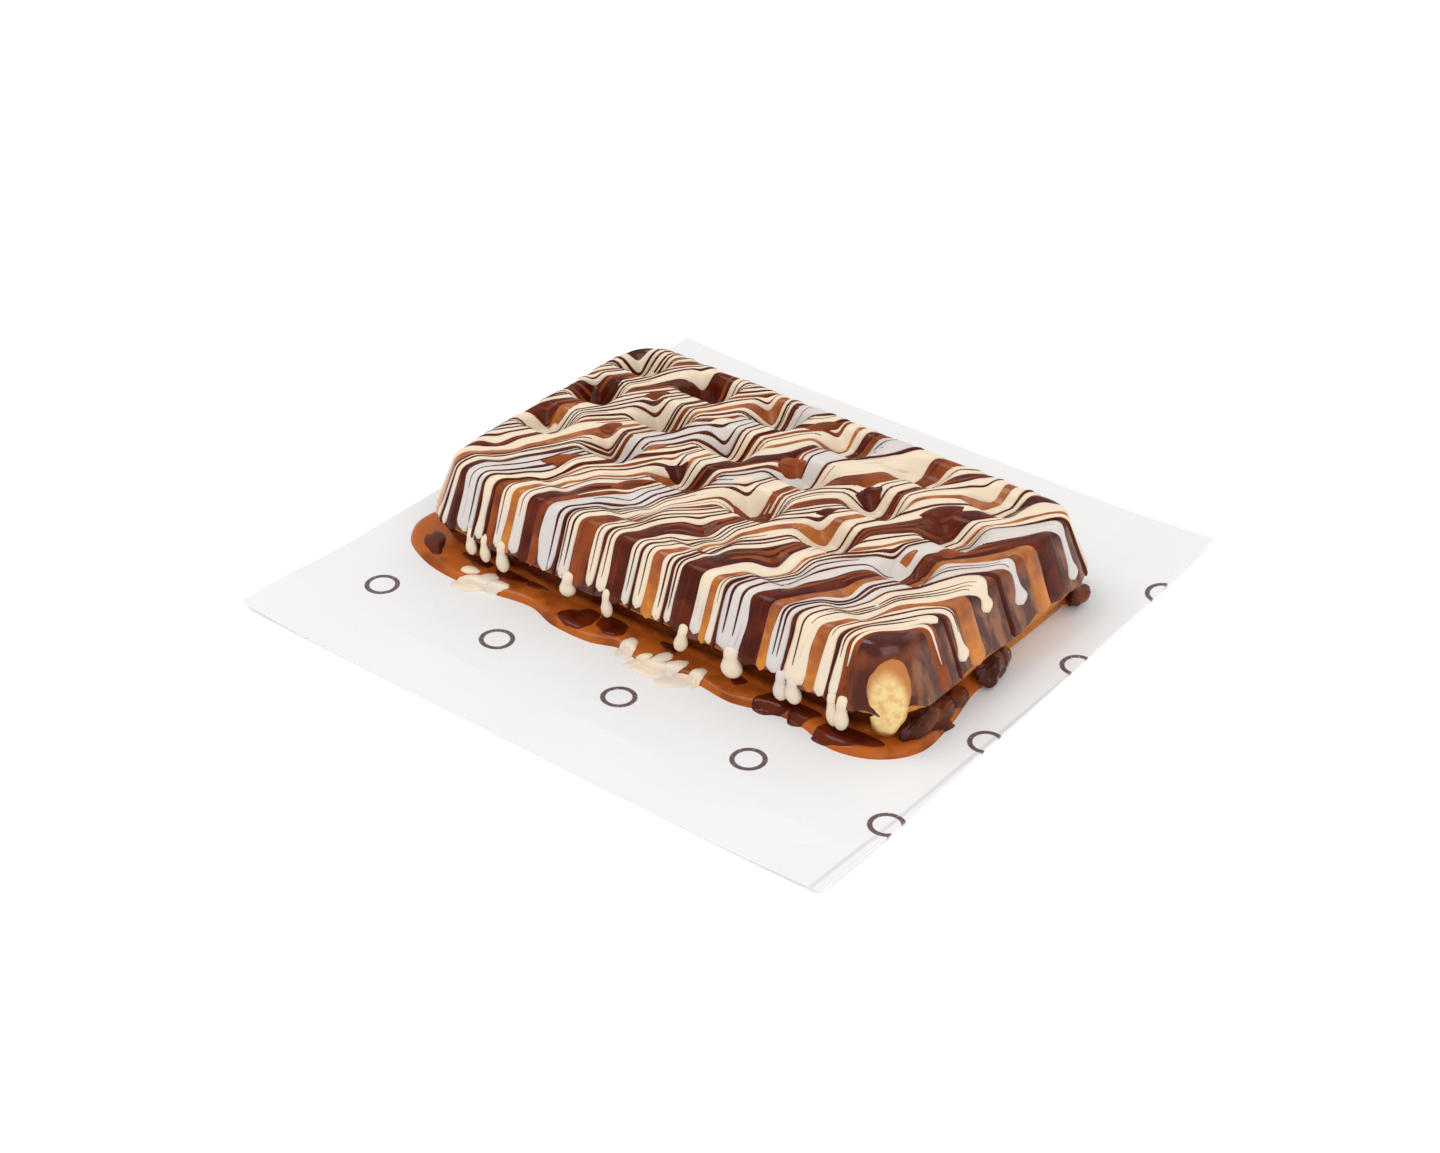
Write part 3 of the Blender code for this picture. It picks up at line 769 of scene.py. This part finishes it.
class WAFFLE_OT_drizzle(Operator):
    """Pour the drizzle: white, milk, dark and thin strands that dip into the wells and run down the sides"""

    bl_idname = "waffle.drizzle"
    bl_label = "Pour Drizzle"

    def execute(self, context):
        scene = context.scene
        sizes, drizzle, colours = scene.waffle_sizes, scene.waffle_drizzle, scene.waffle_colours
        draw = np.random.default_rng(drizzle.seed)
        vein_draw = np.random.default_rng(drizzle.seed + 9)
        made = {sauce: [] for sauce in "WLMDC"}
        for first, last, sauce in strand_list():
            strand = strand_mesh(first, last, sauce, sizes, drizzle, draw)
            if not strand:
                continue
            made["W" if sauce == "P" else sauce].append(strand[0])
            if sauce in VEINS:
                self.add_veins(made, sauce, strand[1], sizes, drizzle, vein_draw)
        for *lens, sauce in LENSES:
            made[sauce].append(lens_mesh(*[value * MM for value in lens], sizes, drizzle))
        white = white_chocolate(colours)
        dark = brown_chocolate("dark_chocolate_poured", colours.dark, linear("#6E2A12"), 0.15)
        milk = brown_chocolate("milk_chocolate_poured", colours.milk, colours.dark, 0.2)
        for name, sauce, material, slot in (
            ("white_drizzle", "W", white, "white_chocolate"), ("milk_drizzle", "M", milk, "milk_chocolate"),
            ("dark_drizzle", "D", dark, "dark_chocolate"), ("dark_lines", "L", dark, "dark_chocolate"),
            ("thin_sauce", "C", thin_caramel(colours), "milk_chocolate"),
        ):
            verts, faces, values = join_strands(made[sauce])
            add_piece(name, verts, faces, material, slot, **values)
        return {"FINISHED"}

    def add_veins(self, made, sauce, way, sizes, drizzle, draw):
        """Draw the thin lines that marble one strand, unless it is short."""
        kind, width, start = VEINS[sauce]
        total = way[1][-1]
        if total <= VEINED_LENGTH:
            return
        count = max(int(np.mean(way[2]) / VEIN_SPACING + 0.4), 1)
        for number in range(count):
            share = ((number + 0.5) / count - 0.5) * 1.3 + draw.uniform(-0.2, 0.2)
            low = max(draw.uniform(-0.4, 0.45), start)
            high = min(low + draw.uniform(40, 110) * MM / total, 0.88)
            if high - low > VEIN_LEAST / total:
                made[kind].append(vein_mesh(way, share, low, high, width * MM, sizes, drizzle))


def rounded_plan(sizes, reach, step, shape=None):
    """Return a grid of plan points that fills the top's outline and a reach round it."""
    half_x, half_y, radius = sizes.half_x + reach, sizes.half_y + reach, CORNER_RADIUS + reach
    rows, columns = shape or (int(2 * half_y / step) + 1, int(2 * half_x / step) + 1)
    x, y = np.meshgrid(np.linspace(-half_x, half_x, columns), np.linspace(-half_y, half_y, rows))
    over_x = np.maximum(np.abs(x) - (half_x - radius), 0) / radius
    over_y = np.maximum(np.abs(y) - (half_y - radius), 0) / radius
    corner = (over_x > 0) & (over_y > 0)
    bent_x = half_x - radius * (1 - over_x * np.sqrt(1 - over_y ** 2 / 2))
    bent_y = half_y - radius * (1 - over_y * np.sqrt(1 - over_x ** 2 / 2))
    return np.where(corner, np.sign(x) * bent_x, x), np.where(corner, np.sign(y) * bent_y, y)


def shaped_grid(name, points):
    """Add a grid by its tool and give its vertices their places, row by row."""
    rows, columns = points.shape[:2]
    deselect_all()
    bpy.ops.mesh.primitive_grid_add(x_subdivisions=columns - 1, y_subdivisions=rows - 1, size=1)
    piece = bpy.context.object
    piece.name = name
    across, along, _ = places_of(piece).T
    column = np.rint((across + 0.5) * (columns - 1)).astype(int)
    row = np.rint((along + 0.5) * (rows - 1)).astype(int)
    put_places(piece, *points[row, column].T)
    piece.data.update()
    return piece


COAT_STEP = 1.15 * MM
CRUST_STEP = 1.6 * MM
# The crust follows the sauced form this far in, and past its seam down to the foot
CRUST_INSET = 0.7 * MM
CRUST_REACH = SIDE_LENGTH + 11.6 * MM
FOOT_REACH = 1.0 * MM


class WAFFLE_OT_crust(Operator):
    """Bake the crust: sloping sides, a seam, a foot and bare wells below"""

    bl_idname = "waffle.crust"
    bl_label = "Bake Crust"

    def execute(self, context):
        sizes, colours = context.scene.waffle_sizes, context.scene.waffle_colours
        x, y = rounded_plan(sizes, CRUST_REACH, CRUST_STEP)
        upper = fold(x, y, sizes) - fold_normal(x, y, sizes) * CRUST_INSET
        upper[..., 2] = np.maximum(upper[..., 2] + 0.12 * MM * drift(x, y, 3 * MM, 21), MIDDLE.z)
        x, y = rounded_plan(sizes, FOOT_REACH, None, x.shape)
        share = well_share(x, WELL_PITCH[0], WELLS[0]) * well_share(y, WELL_PITCH[1], WELLS[1])
        under = np.stack([x + MIDDLE.x, y + MIDDLE.y, MIDDLE.z + sizes.under_depth * share], axis=-1)
        crust = join_pieces([shaped_grid("crust_top", upper), shaped_grid("crust_bottom", under)])
        bpy.ops.object.mode_set(mode="EDIT")
        bpy.ops.mesh.select_all(action="DESELECT")
        bpy.ops.mesh.select_non_manifold()
        bpy.ops.mesh.bridge_edge_loops()
        bpy.ops.object.mode_set(mode="OBJECT")
        finish_piece(crust, "baked_crust", baked_crust(colours), "waffle")
        return {"FINISHED"}


class WAFFLE_OT_coat(Operator):
    """Lay the sauce coat that shows between the strands, over the top and down the sides"""

    bl_idname = "waffle.coat"
    bl_label = "Lay Sauce Coat"

    def execute(self, context):
        sizes, colours = context.scene.waffle_sizes, context.scene.waffle_colours
        x, y = rounded_plan(sizes, SIDE_LENGTH, COAT_STEP)
        distance, out_x, out_y = way_out(x, y, sizes)
        ragged = 0.97 + 0.04 * drift(x, y, 20 * MM, 11)
        shrink = np.maximum(distance, 0) * (ragged - 1)
        coat = shaped_grid("sauce_coat", fold(x + out_x * shrink, y + out_y * shrink, sizes))
        skin = coat.modifiers.new("coat_thickness", "SOLIDIFY")
        skin.thickness = sizes.coat
        skin.offset = -1
        finish_piece(coat, "sauce_coat", sauce_coat(colours))
        return {"FINISHED"}


# Spilt sauce: its outer edge from the waffle's middle, in millimetres
POOL_EDGE = (
    (-93, -38), (-89, -49), (-78, -55), (-66, -57), (-52, -56), (-38, -54), (-27, -57), (-14, -57),
    (-4, -54), (8, -57), (20, -54), (34, -55), (46, -52), (56, -52), (68, -55), (80, -51), (87, -41),
    (86, -26), (83, -12), (83, 0), (77, 8), (72, 20), (73, 34), (82, 42), (79, 50), (60, 49),
    (40, 48), (18, 50), (-8, 48), (-34, 50), (-58, 48), (-78, 49), (-87, 40), (-86, 22), (-88, 4),
    (-87, -16),
)
POOL_POINTS = 420
# The undercut wall between foot and seam: its ends' heights over the foot and its overhang, then how far up
# it the sauce climbs, and how much less it does on the right side
WALL_LOW = 2.6 * MM
WALL_HIGH = 12.0 * MM
WALL_REACH = 6.0 * MM
POOL_CLIMB = 11.2 * MM
POOL_CLIMB_DROP = 8.4 * MM


def smooth_outline(points, count):
    """Return evenly many points of a closed smooth curve through the given ones."""
    knots = np.array(points, float) * MM
    place = np.linspace(0, len(knots), count, endpoint=False)
    k = place.astype(int)
    t = (place - k)[:, None]
    p0, p1, p2, p3 = (knots[(k + step) % len(knots)] for step in (-1, 0, 1, 2))
    return 0.5 * (2 * p1 + (p2 - p0) * t + (2 * p0 - 5 * p1 + 4 * p2 - p3) * t ** 2
                  + (3 * p1 - p0 - 3 * p2 + p3) * t ** 3)


def wall_reach(height):
    """Return how far the undercut wall stands out at a height over the foot."""
    return FOOT_REACH + np.clip((height - WALL_LOW) / (WALL_HIGH - WALL_LOW), 0, 1) * WALL_REACH


def pool_height(x, y, edge, pool):
    """Return the spilt sauce's surface at plan points from the waffle's middle, rounded at its edge."""
    flat = np.stack([np.ravel(x), np.ravel(y)], axis=-1)
    near = np.sqrt(((flat[:, None] - edge[None]) ** 2).sum(-1).min(1)).reshape(np.shape(x))
    rise = np.sqrt(1 - (1 - np.clip(near / pool.edge, 0, 1)) ** 2)
    waves = 0.12 * MM * drift(x, y, 18 * MM, 31)
    return PAPER_TOP + (pool.depth + waves) * rise


class WAFFLE_OT_pool(Operator):
    """Pour the spilt milk chocolate round the foot, rising up the undercut wall"""

    bl_idname = "waffle.pool"
    bl_label = "Pour Spilt Sauce"

    def execute(self, context):
        scene = context.scene
        sizes, pool, colours = scene.waffle_sizes, scene.waffle_pool, scene.waffle_colours
        edge = smooth_outline(POOL_EDGE, POOL_POINTS)
        distance, out_x, out_y = way_out(edge[:, 0], edge[:, 1], sizes)
        distance = np.maximum(distance, 1.6 * MM)
        open_side = eased((edge[:, 0] - 60 * MM) / (12 * MM)) * eased((edge[:, 1] + 40 * MM) / (14 * MM))
        open_side *= 1 - eased((edge[:, 1] - 36 * MM) / (6 * MM))
        apron = POOL_CLIMB - POOL_CLIMB_DROP * open_side + 0.3 * MM * drift(*edge.T, 14 * MM, 41)
        foot_x, foot_y = edge[:, 0] - out_x * distance, edge[:, 1] - out_y * distance
        section = []
        depth = pool.depth + PAPER_TOP - MIDDLE.z
        for share in (1.0, 0.98, 0.85, 0.6, 0.35, 0.15, 0.0):
            height = depth + (apron - depth) * share
            proud = np.where(share == 1.0, -0.4 * MM, (0.5 + 1.6 * (1 - share) ** 2) * MM)
            section.append((wall_reach(height) + proud, height))
        start = section[-1][0]
        for share in np.linspace(0.12, 1.0, 12) ** 0.6:
            out = start + (distance - start) * share
            x, y = foot_x + out_x * out, foot_y + out_y * out
            height = pool_height(x, y, edge, pool) - MIDDLE.z
            section.append((out, np.where(share == 1.0, PAPER_TOP - MIDDLE.z, height)))
        below = np.full(POOL_POINTS, PAPER_TOP - SUNK - MIDDLE.z)
        section += [(distance - 0.2 * MM, below), (0.2 * MM, below)]
        verts = [
            np.stack([foot_x + out_x * out, foot_y + out_y * out, height], axis=-1) + np.array(MIDDLE)
            for out, height in section
        ]
        faces = sheet_faces(len(verts), POOL_POINTS, True)
        # Its last colour is painted shade, laid on the sauce up the undercut wall.
        material = brown_chocolate(
            "milk_chocolate_spilt", colours.pool, linear("#8A4014"), 0.14, False, linear("#43180A")
        )
        add_piece("spilt_sauce", verts, faces, material, "milk_chocolate", "sauce_puddle")
        return {"FINISHED"}


# Blots on the spilt sauce: middle from the waffle's middle, length and width in millimetres, turn in degrees
DARK_BLOTS = (
    (-79.5, -48.5, 13, 5.6, -35), (-63, -48, 11, 4, 5), (-50.4, -47, 10, 8, 10), (-40.6, -46, 8, 5.5, 0),
    (-21.5, -52, 10.5, 9.5, -20), (-11.7, -48.4, 10.5, 9.5, 30), (7.6, -46.4, 6, 7, 60),
    (30.8, -46, 7.5, 6.5, 0), (45.9, -48.2, 12, 10, 60), (54.2, -48, 10, 8, 20), (69, -50.2, 20, 7, 10),
    (83.2, -34, 15, 6, 68),
)
CREAM_STROKES = (
    (-2.4, -54, 8, 5.2, 100), (9, -57, 14, 5.6, 18), (17, -57, 11, 5.6, 32), (3.6, -56.6, 8, 3.6, 50),
    (21.2, -53.2, 8, 4.2, 85), (9, -53, 8, 3.6, 68), (14, -53.5, 8, 4.4, 70), (-55, -53.5, 8, 4.6, 62),
    (-57.4, -56, 13, 5.6, 34), (-50.5, -54, 8, 4, 20), (-61.5, -53, 6, 3.4, 10),
)


def add_blot(place, size, turn, edge, pool, seed):
    """Model one flat blot of sauce on the spilt sauce: size is length, width, thickness and raggedness."""
    deselect_all()
    bpy.ops.mesh.primitive_uv_sphere_add(segments=48, ring_count=20, radius=1)
    blot = bpy.context.object
    x, y, z = places_of(blot).T
    way = np.arctan2(y, x)
    draw = np.random.default_rng(seed)
    long, wide, thickness, ragged = size
    ragged *= 0.16 * np.sin(2 * way + draw.uniform(0, 6)) + 0.12 * np.sin(3 * way + draw.uniform(0, 6))
    ragged += 1 + 0.03 * np.sin(7 * way + draw.uniform(0, 6))
    along, across = x * ragged * long / 2, y * ragged * wide / 2
    x = place[0] + along * math.cos(turn) - across * math.sin(turn)
    y = place[1] + along * math.sin(turn) + across * math.cos(turn)
    on_pool = pool_height(x, y, edge, pool) + z * thickness
    z = np.where(inside_outline(x, y, edge), on_pool, PAPER_TOP + np.maximum(z, -0.1) * thickness)
    return put_places(blot, x + MIDDLE.x, y + MIDDLE.y, z)


def inside_outline(x, y, edge):
    """Say which plan points lie inside a closed outline."""
    inside = np.zeros(np.shape(x), bool)
    for (x1, y1), (x2, y2) in zip(edge, np.roll(edge, -1, axis=0)):
        crosses = (y1 > y) != (y2 > y)
        at = x1 + (y - y1) * (x2 - x1) / (y2 - y1 if y2 != y1 else 1e-12)
        inside ^= crosses & (x < at)
    return inside


class WAFFLE_OT_blots(Operator):
    """Drop the dark blots and the cream strokes on the spilt sauce"""

    bl_idname = "waffle.blots"
    bl_label = "Drop Blots"

    def execute(self, context):
        scene = context.scene
        pool, colours = scene.waffle_pool, scene.waffle_colours
        edge = smooth_outline(POOL_EDGE, POOL_POINTS)
        dark = brown_chocolate("dark_chocolate_spilt", linear("#5E2008"), colours.dark, 0.12, marbled=False)
        white = white_chocolate(colours, "white_chocolate_spilt", marbled=False)
        for name, blots, thickness, ragged, material, slot in (
            ("dark_blots", DARK_BLOTS, 0.75 * MM, 1.0, dark, "dark_chocolate"),
            ("cream_strokes", CREAM_STROKES, 0.8 * MM, 0.45, white, "white_chocolate"),
        ):
            made = []
            for number, (x, y, long, wide, turn) in enumerate(blots):
                size = (long * MM, wide * MM, thickness, ragged)
                made.append(add_blot((x * MM, y * MM), size, math.radians(turn), edge, pool, number))
            finish_piece(join_pieces(made), name, material)
        return {"FINISHED"}


# Runs that hang from the seam: place along the side, length, width and lean in millimetres
FRONT_RUNS = (
    (-62.6, 8.6, 3.6, 0.0), (-57.4, 9.0, 3.4, 0.2), (-51.0, 9.6, 4.2, 0.6), (-26.0, 7.6, 5.2, -0.6),
    (-12.2, 8.8, 3.6, 0.2), (15.0, 9.0, 4.2, -1.8), (31.4, 9.6, 6.4, 0.4), (48.2, 9.8, 4.6, -0.2),
    (51.8, 9.0, 4.8, 0.9), (64.6, 10.4, 3.8, 1.0), (68.0, 10.6, 4.4, -0.4),
)
RUN_NECK = 0.7
RUN_ROUND = 0.30
# How far above the front wall a run's end starts, and how far out the seam lies
RUN_START = 2.2 * MM
SEAM_REACH = 7.0 * MM


def add_run_end(along, length, width, lean, face):
    """Model one hanging run end that grows out of its strand above the seam and swells to a round drop."""
    deselect_all()
    bpy.ops.mesh.primitive_uv_sphere_add(segments=24, ring_count=28, radius=1)
    drop = bpy.context.object
    x, y, z = places_of(drop).T
    down = (1 - z) / 2
    ring = np.maximum(np.hypot(x, y), 1e-6)
    body = RUN_NECK + (1 - RUN_NECK) * eased((down - 0.35) / 0.35)
    close = np.sqrt(np.clip(1 - np.maximum((down - 1 + RUN_ROUND) / RUN_ROUND, 0) ** 2, 0, 1))
    close *= np.sqrt(np.clip(1 - np.maximum(1 - down / 0.12, 0) ** 2, 0, 1))
    wide = body * close * width / 2
    height = WALL_HIGH + RUN_START - length * down
    side = along + x / ring * wide + lean * np.maximum(down - 0.2, 0)
    out = face - np.maximum(height - WALL_HIGH, 0) * 0.4 + y / ring * wide * 0.8
    return put_places(drop, side, MIDDLE.y - out, MIDDLE.z + height)


class WAFFLE_OT_run_ends(Operator):
    """Hang the round ends of the white runs from the seam"""

    bl_idname = "waffle.run_ends"
    bl_label = "Hang Run Ends"

    def execute(self, context):
        sizes, colours = context.scene.waffle_sizes, context.scene.waffle_colours
        made = []
        for run in FRONT_RUNS:
            along, length, width, lean = (value * MM for value in run)
            made.append(add_run_end(along, length, width, lean, sizes.half_y + SEAM_REACH))
        material = white_chocolate(colours, "white_chocolate_hanging", marbled=False)
        finish_piece(join_pieces(made), "white_run_ends", material)
        return {"FINISHED"}


def add_lump(place, radii, turn, rough, seed, level):
    """Model one uneven lump that rests on the paper, and return it and its places from its middle."""
    deselect_all()
    bpy.ops.mesh.primitive_ico_sphere_add(subdivisions=level, radius=1)
    lump = bpy.context.object
    x, y, z = places_of(lump).T
    bulge = 1 + rough * drift(x * 3 + z * 2, y * 3 - z, 4.0, seed)
    bulge += 0.2 * rough * drift(x * 9 - z * 7, y * 9 + z * 5, 4.0, seed + 1)
    x, y, z = (value * bulge * radius for value, radius in zip((x, y, z), radii))
    put_places(
        lump,
        x * math.cos(turn) - y * math.sin(turn) + place[0],
        x * math.sin(turn) + y * math.cos(turn) + place[1],
        np.maximum(z + place[2], PAPER_TOP),
    )
    return lump, (x, y, z)


# Dark lumps at the right foot: place along the side, half sizes out, along and up, place out from the top's
# edge and height, in millimetres
SIDE_LUMPS = (
    (-36, 3.0, 7.5, 4.2, 4.6, 4.6), (-29, 3.4, 6.0, 3.4, 4.6, 3.8), (-19, 2.8, 4.6, 2.2, 4.2, 2.8),
    (-5, 4.4, 5.2, 4.6, 4.8, 5.4), (1, 3.0, 4.6, 3.2, 3.8, 4.2), (41, 2.4, 4.4, 2.6, 3.8, 3.8),
)


class WAFFLE_OT_lumps(Operator):
    """Set the dark lumps of thickened sauce at the right foot"""

    bl_idname = "waffle.lumps"
    bl_label = "Set Side Lumps"

    def execute(self, context):
        sizes = context.scene.waffle_sizes
        made = []
        for number, (along, out, wide, tall, off, height) in enumerate(SIDE_LUMPS):
            place = (sizes.half_x + off * MM, MIDDLE.y + along * MM, height * MM)
            made.append(add_lump(place, (out * MM, wide * MM, tall * MM), 0.0, 0.15, 70 + number, 5)[0])
        material = brown_chocolate(
            "dark_chocolate_thickened", linear("#431C10"), linear("#6A341C"), 0.18, marbled=False
        )
        finish_piece(join_pieces(made), "side_lumps", material)
        return {"FINISHED"}


# Torn spot: the corner's direction, how far out and how high its middle lies, and how far it bulges
CRUMB_TURN = math.radians(-48)
CRUMB_REACH = CORNER_RADIUS + 2.6 * MM
CRUMB_HEIGHT = 13.4 * MM
CRUMB_BULGE = 5.0 * MM


class WAFFLE_OT_crumb(Operator):
    """Open the torn spot at the near corner, where the pale crumb shows"""

    bl_idname = "waffle.crumb"
    bl_label = "Open Torn Spot"

    def execute(self, context):
        sizes, colours = context.scene.waffle_sizes, context.scene.waffle_colours
        place = (
            sizes.half_x - CORNER_RADIUS + CRUMB_REACH * math.cos(CRUMB_TURN),
            MIDDLE.y - sizes.half_y + CORNER_RADIUS + CRUMB_REACH * math.sin(CRUMB_TURN),
            MIDDLE.z + CRUMB_HEIGHT,
        )
        radii = (CRUMB_BULGE, sizes.crumb_width / 2, sizes.crumb_height / 2)
        crumb, (x, y, z) = add_lump(place, radii, CRUMB_TURN, 0.1, 90, 6)
        border = np.clip(np.hypot(y / radii[1], z / radii[2]), 0, 1)
        give_values(crumb.data, border=border)
        finish_piece(crumb, "torn_crumb", torn_crumb(colours))
        return {"FINISHED"}


class WAFFLE_OT_paper(Operator):
    """Give the paper its matt white surface with printed rings"""

    bl_idname = "waffle.paper"
    bl_label = "Print Paper"

    def execute(self, context):
        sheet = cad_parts["paper"]
        sheet.data.materials.clear()
        sheet.data.materials.append(greaseproof_paper(context.scene.waffle_paper))
        return {"FINISHED"}


# Camera: the photograph's direction, distance and framing
VIEW_AZIMUTH = math.radians(38.2)
VIEW_ELEVATION = math.radians(33.25)
VIEW_DISTANCE = 783.1 * MM
VIEW_LENS = 68.665
VIEW_SHIFT = (-0.0253, -0.0039)

# Lights: name, place, size in metres and power in watts, and the white room round them
LIGHTS = (
    ("key_light", (-0.5, -0.3, 1.15), 0.6, 4.8),
    ("fill_light", (0.95, -0.6, 0.8), 1.1, 6.3),
    ("back_light", (0.25, 1.0, 0.8), 0.9, 2.2),
)
ROOM_LIGHT = 0.72
FLOOR_SIZE = 6.0


class WAFFLE_OT_stage(Operator):
    """Set the white floor, the soft lights and the camera"""

    bl_idname = "waffle.stage"
    bl_label = "Set Stage"

    def execute(self, context):
        deselect_all()
        bpy.ops.mesh.primitive_plane_add(size=FLOOR_SIZE, location=(0, 0, -0.2 * MM))
        floor = context.object
        floor.name = "floor"
        floor.data.materials.append(studio_floor())
        for light in LIGHTS:
            self.add_light(*light)
        world = bpy.data.worlds.new("white_room")
        world.use_nodes = True
        room = world.node_tree.nodes["Background"]
        room.inputs["Color"].default_value = WHITE
        room.inputs["Strength"].default_value = ROOM_LIGHT
        context.scene.world = world
        context.scene.view_settings.view_transform = "Standard"
        self.add_camera(context)
        return {"FINISHED"}

    def add_light(self, name, place, size, power):
        """Add one square soft light that faces the waffle."""
        bpy.ops.object.light_add(type="AREA", location=place)
        light = bpy.context.object
        light.name = name
        light.data.size = size
        light.data.energy = power
        light.rotation_euler = (-Vector(place)).to_track_quat("-Z", "Y").to_euler()

    def add_camera(self, context):
        """Put the camera where the photograph was taken from."""
        back = Vector((
            math.sin(VIEW_AZIMUTH) * math.cos(VIEW_ELEVATION),
            -math.cos(VIEW_AZIMUTH) * math.cos(VIEW_ELEVATION),
            math.sin(VIEW_ELEVATION),
        ))
        target = Vector((MIDDLE.x, MIDDLE.y, 0.0))
        bpy.ops.object.camera_add(location=target + back * VIEW_DISTANCE)
        camera = context.object
        camera.name = "camera"
        camera.rotation_euler = (-back).to_track_quat("-Z", "Y").to_euler()
        camera.data.lens = VIEW_LENS
        camera.data.shift_x, camera.data.shift_y = VIEW_SHIFT
        camera.data.clip_start = 0.05
        context.scene.camera = camera


class WAFFLE_PT_panel(Panel):
    """Lists the steps of making the waffle"""

    bl_label = "Drizzled Waffle"
    bl_space_type = "VIEW_3D"
    bl_region_type = "UI"
    bl_category = "Waffle"

    def draw(self, context):
        for operator in STEPS:
            self.layout.operator(operator.bl_idname)
        for group in ("waffle_sizes", "waffle_drizzle", "waffle_pool", "waffle_colours", "waffle_paper"):
            settings = getattr(context.scene, group)
            for name in settings.__annotations__:
                self.layout.prop(settings, name)


STEPS = (
    WAFFLE_OT_stage,
    WAFFLE_OT_crust,
    WAFFLE_OT_coat,
    WAFFLE_OT_drizzle,
    WAFFLE_OT_run_ends,
    WAFFLE_OT_pool,
    WAFFLE_OT_blots,
    WAFFLE_OT_lumps,
    WAFFLE_OT_crumb,
    WAFFLE_OT_paper,
)
GROUPS = {
    "waffle_sizes": WaffleSizes,
    "waffle_drizzle": DrizzleSizes,
    "waffle_pool": PoolSizes,
    "waffle_colours": FoodColours,
    "waffle_paper": PaperColours,
}


def register():
    """Register the settings, the steps and the panel."""
    for name, group in GROUPS.items():
        bpy.utils.register_class(group)
        setattr(bpy.types.Scene, name, PointerProperty(type=group))
    for step in STEPS:
        bpy.utils.register_class(step)
    bpy.utils.register_class(WAFFLE_PT_panel)


def unregister():
    """Take the panel, the steps and the settings away again."""
    bpy.utils.unregister_class(WAFFLE_PT_panel)
    for step in reversed(STEPS):
        bpy.utils.unregister_class(step)
    for name, group in reversed(GROUPS.items()):
        delattr(bpy.types.Scene, name)
        bpy.utils.unregister_class(group)


def main():
    """Make every piece in order."""
    register()
    for step in STEPS:
        getattr(bpy.ops.waffle, step.bl_idname.partition(".")[2])()
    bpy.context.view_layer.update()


if __name__ == "__main__":
    main()
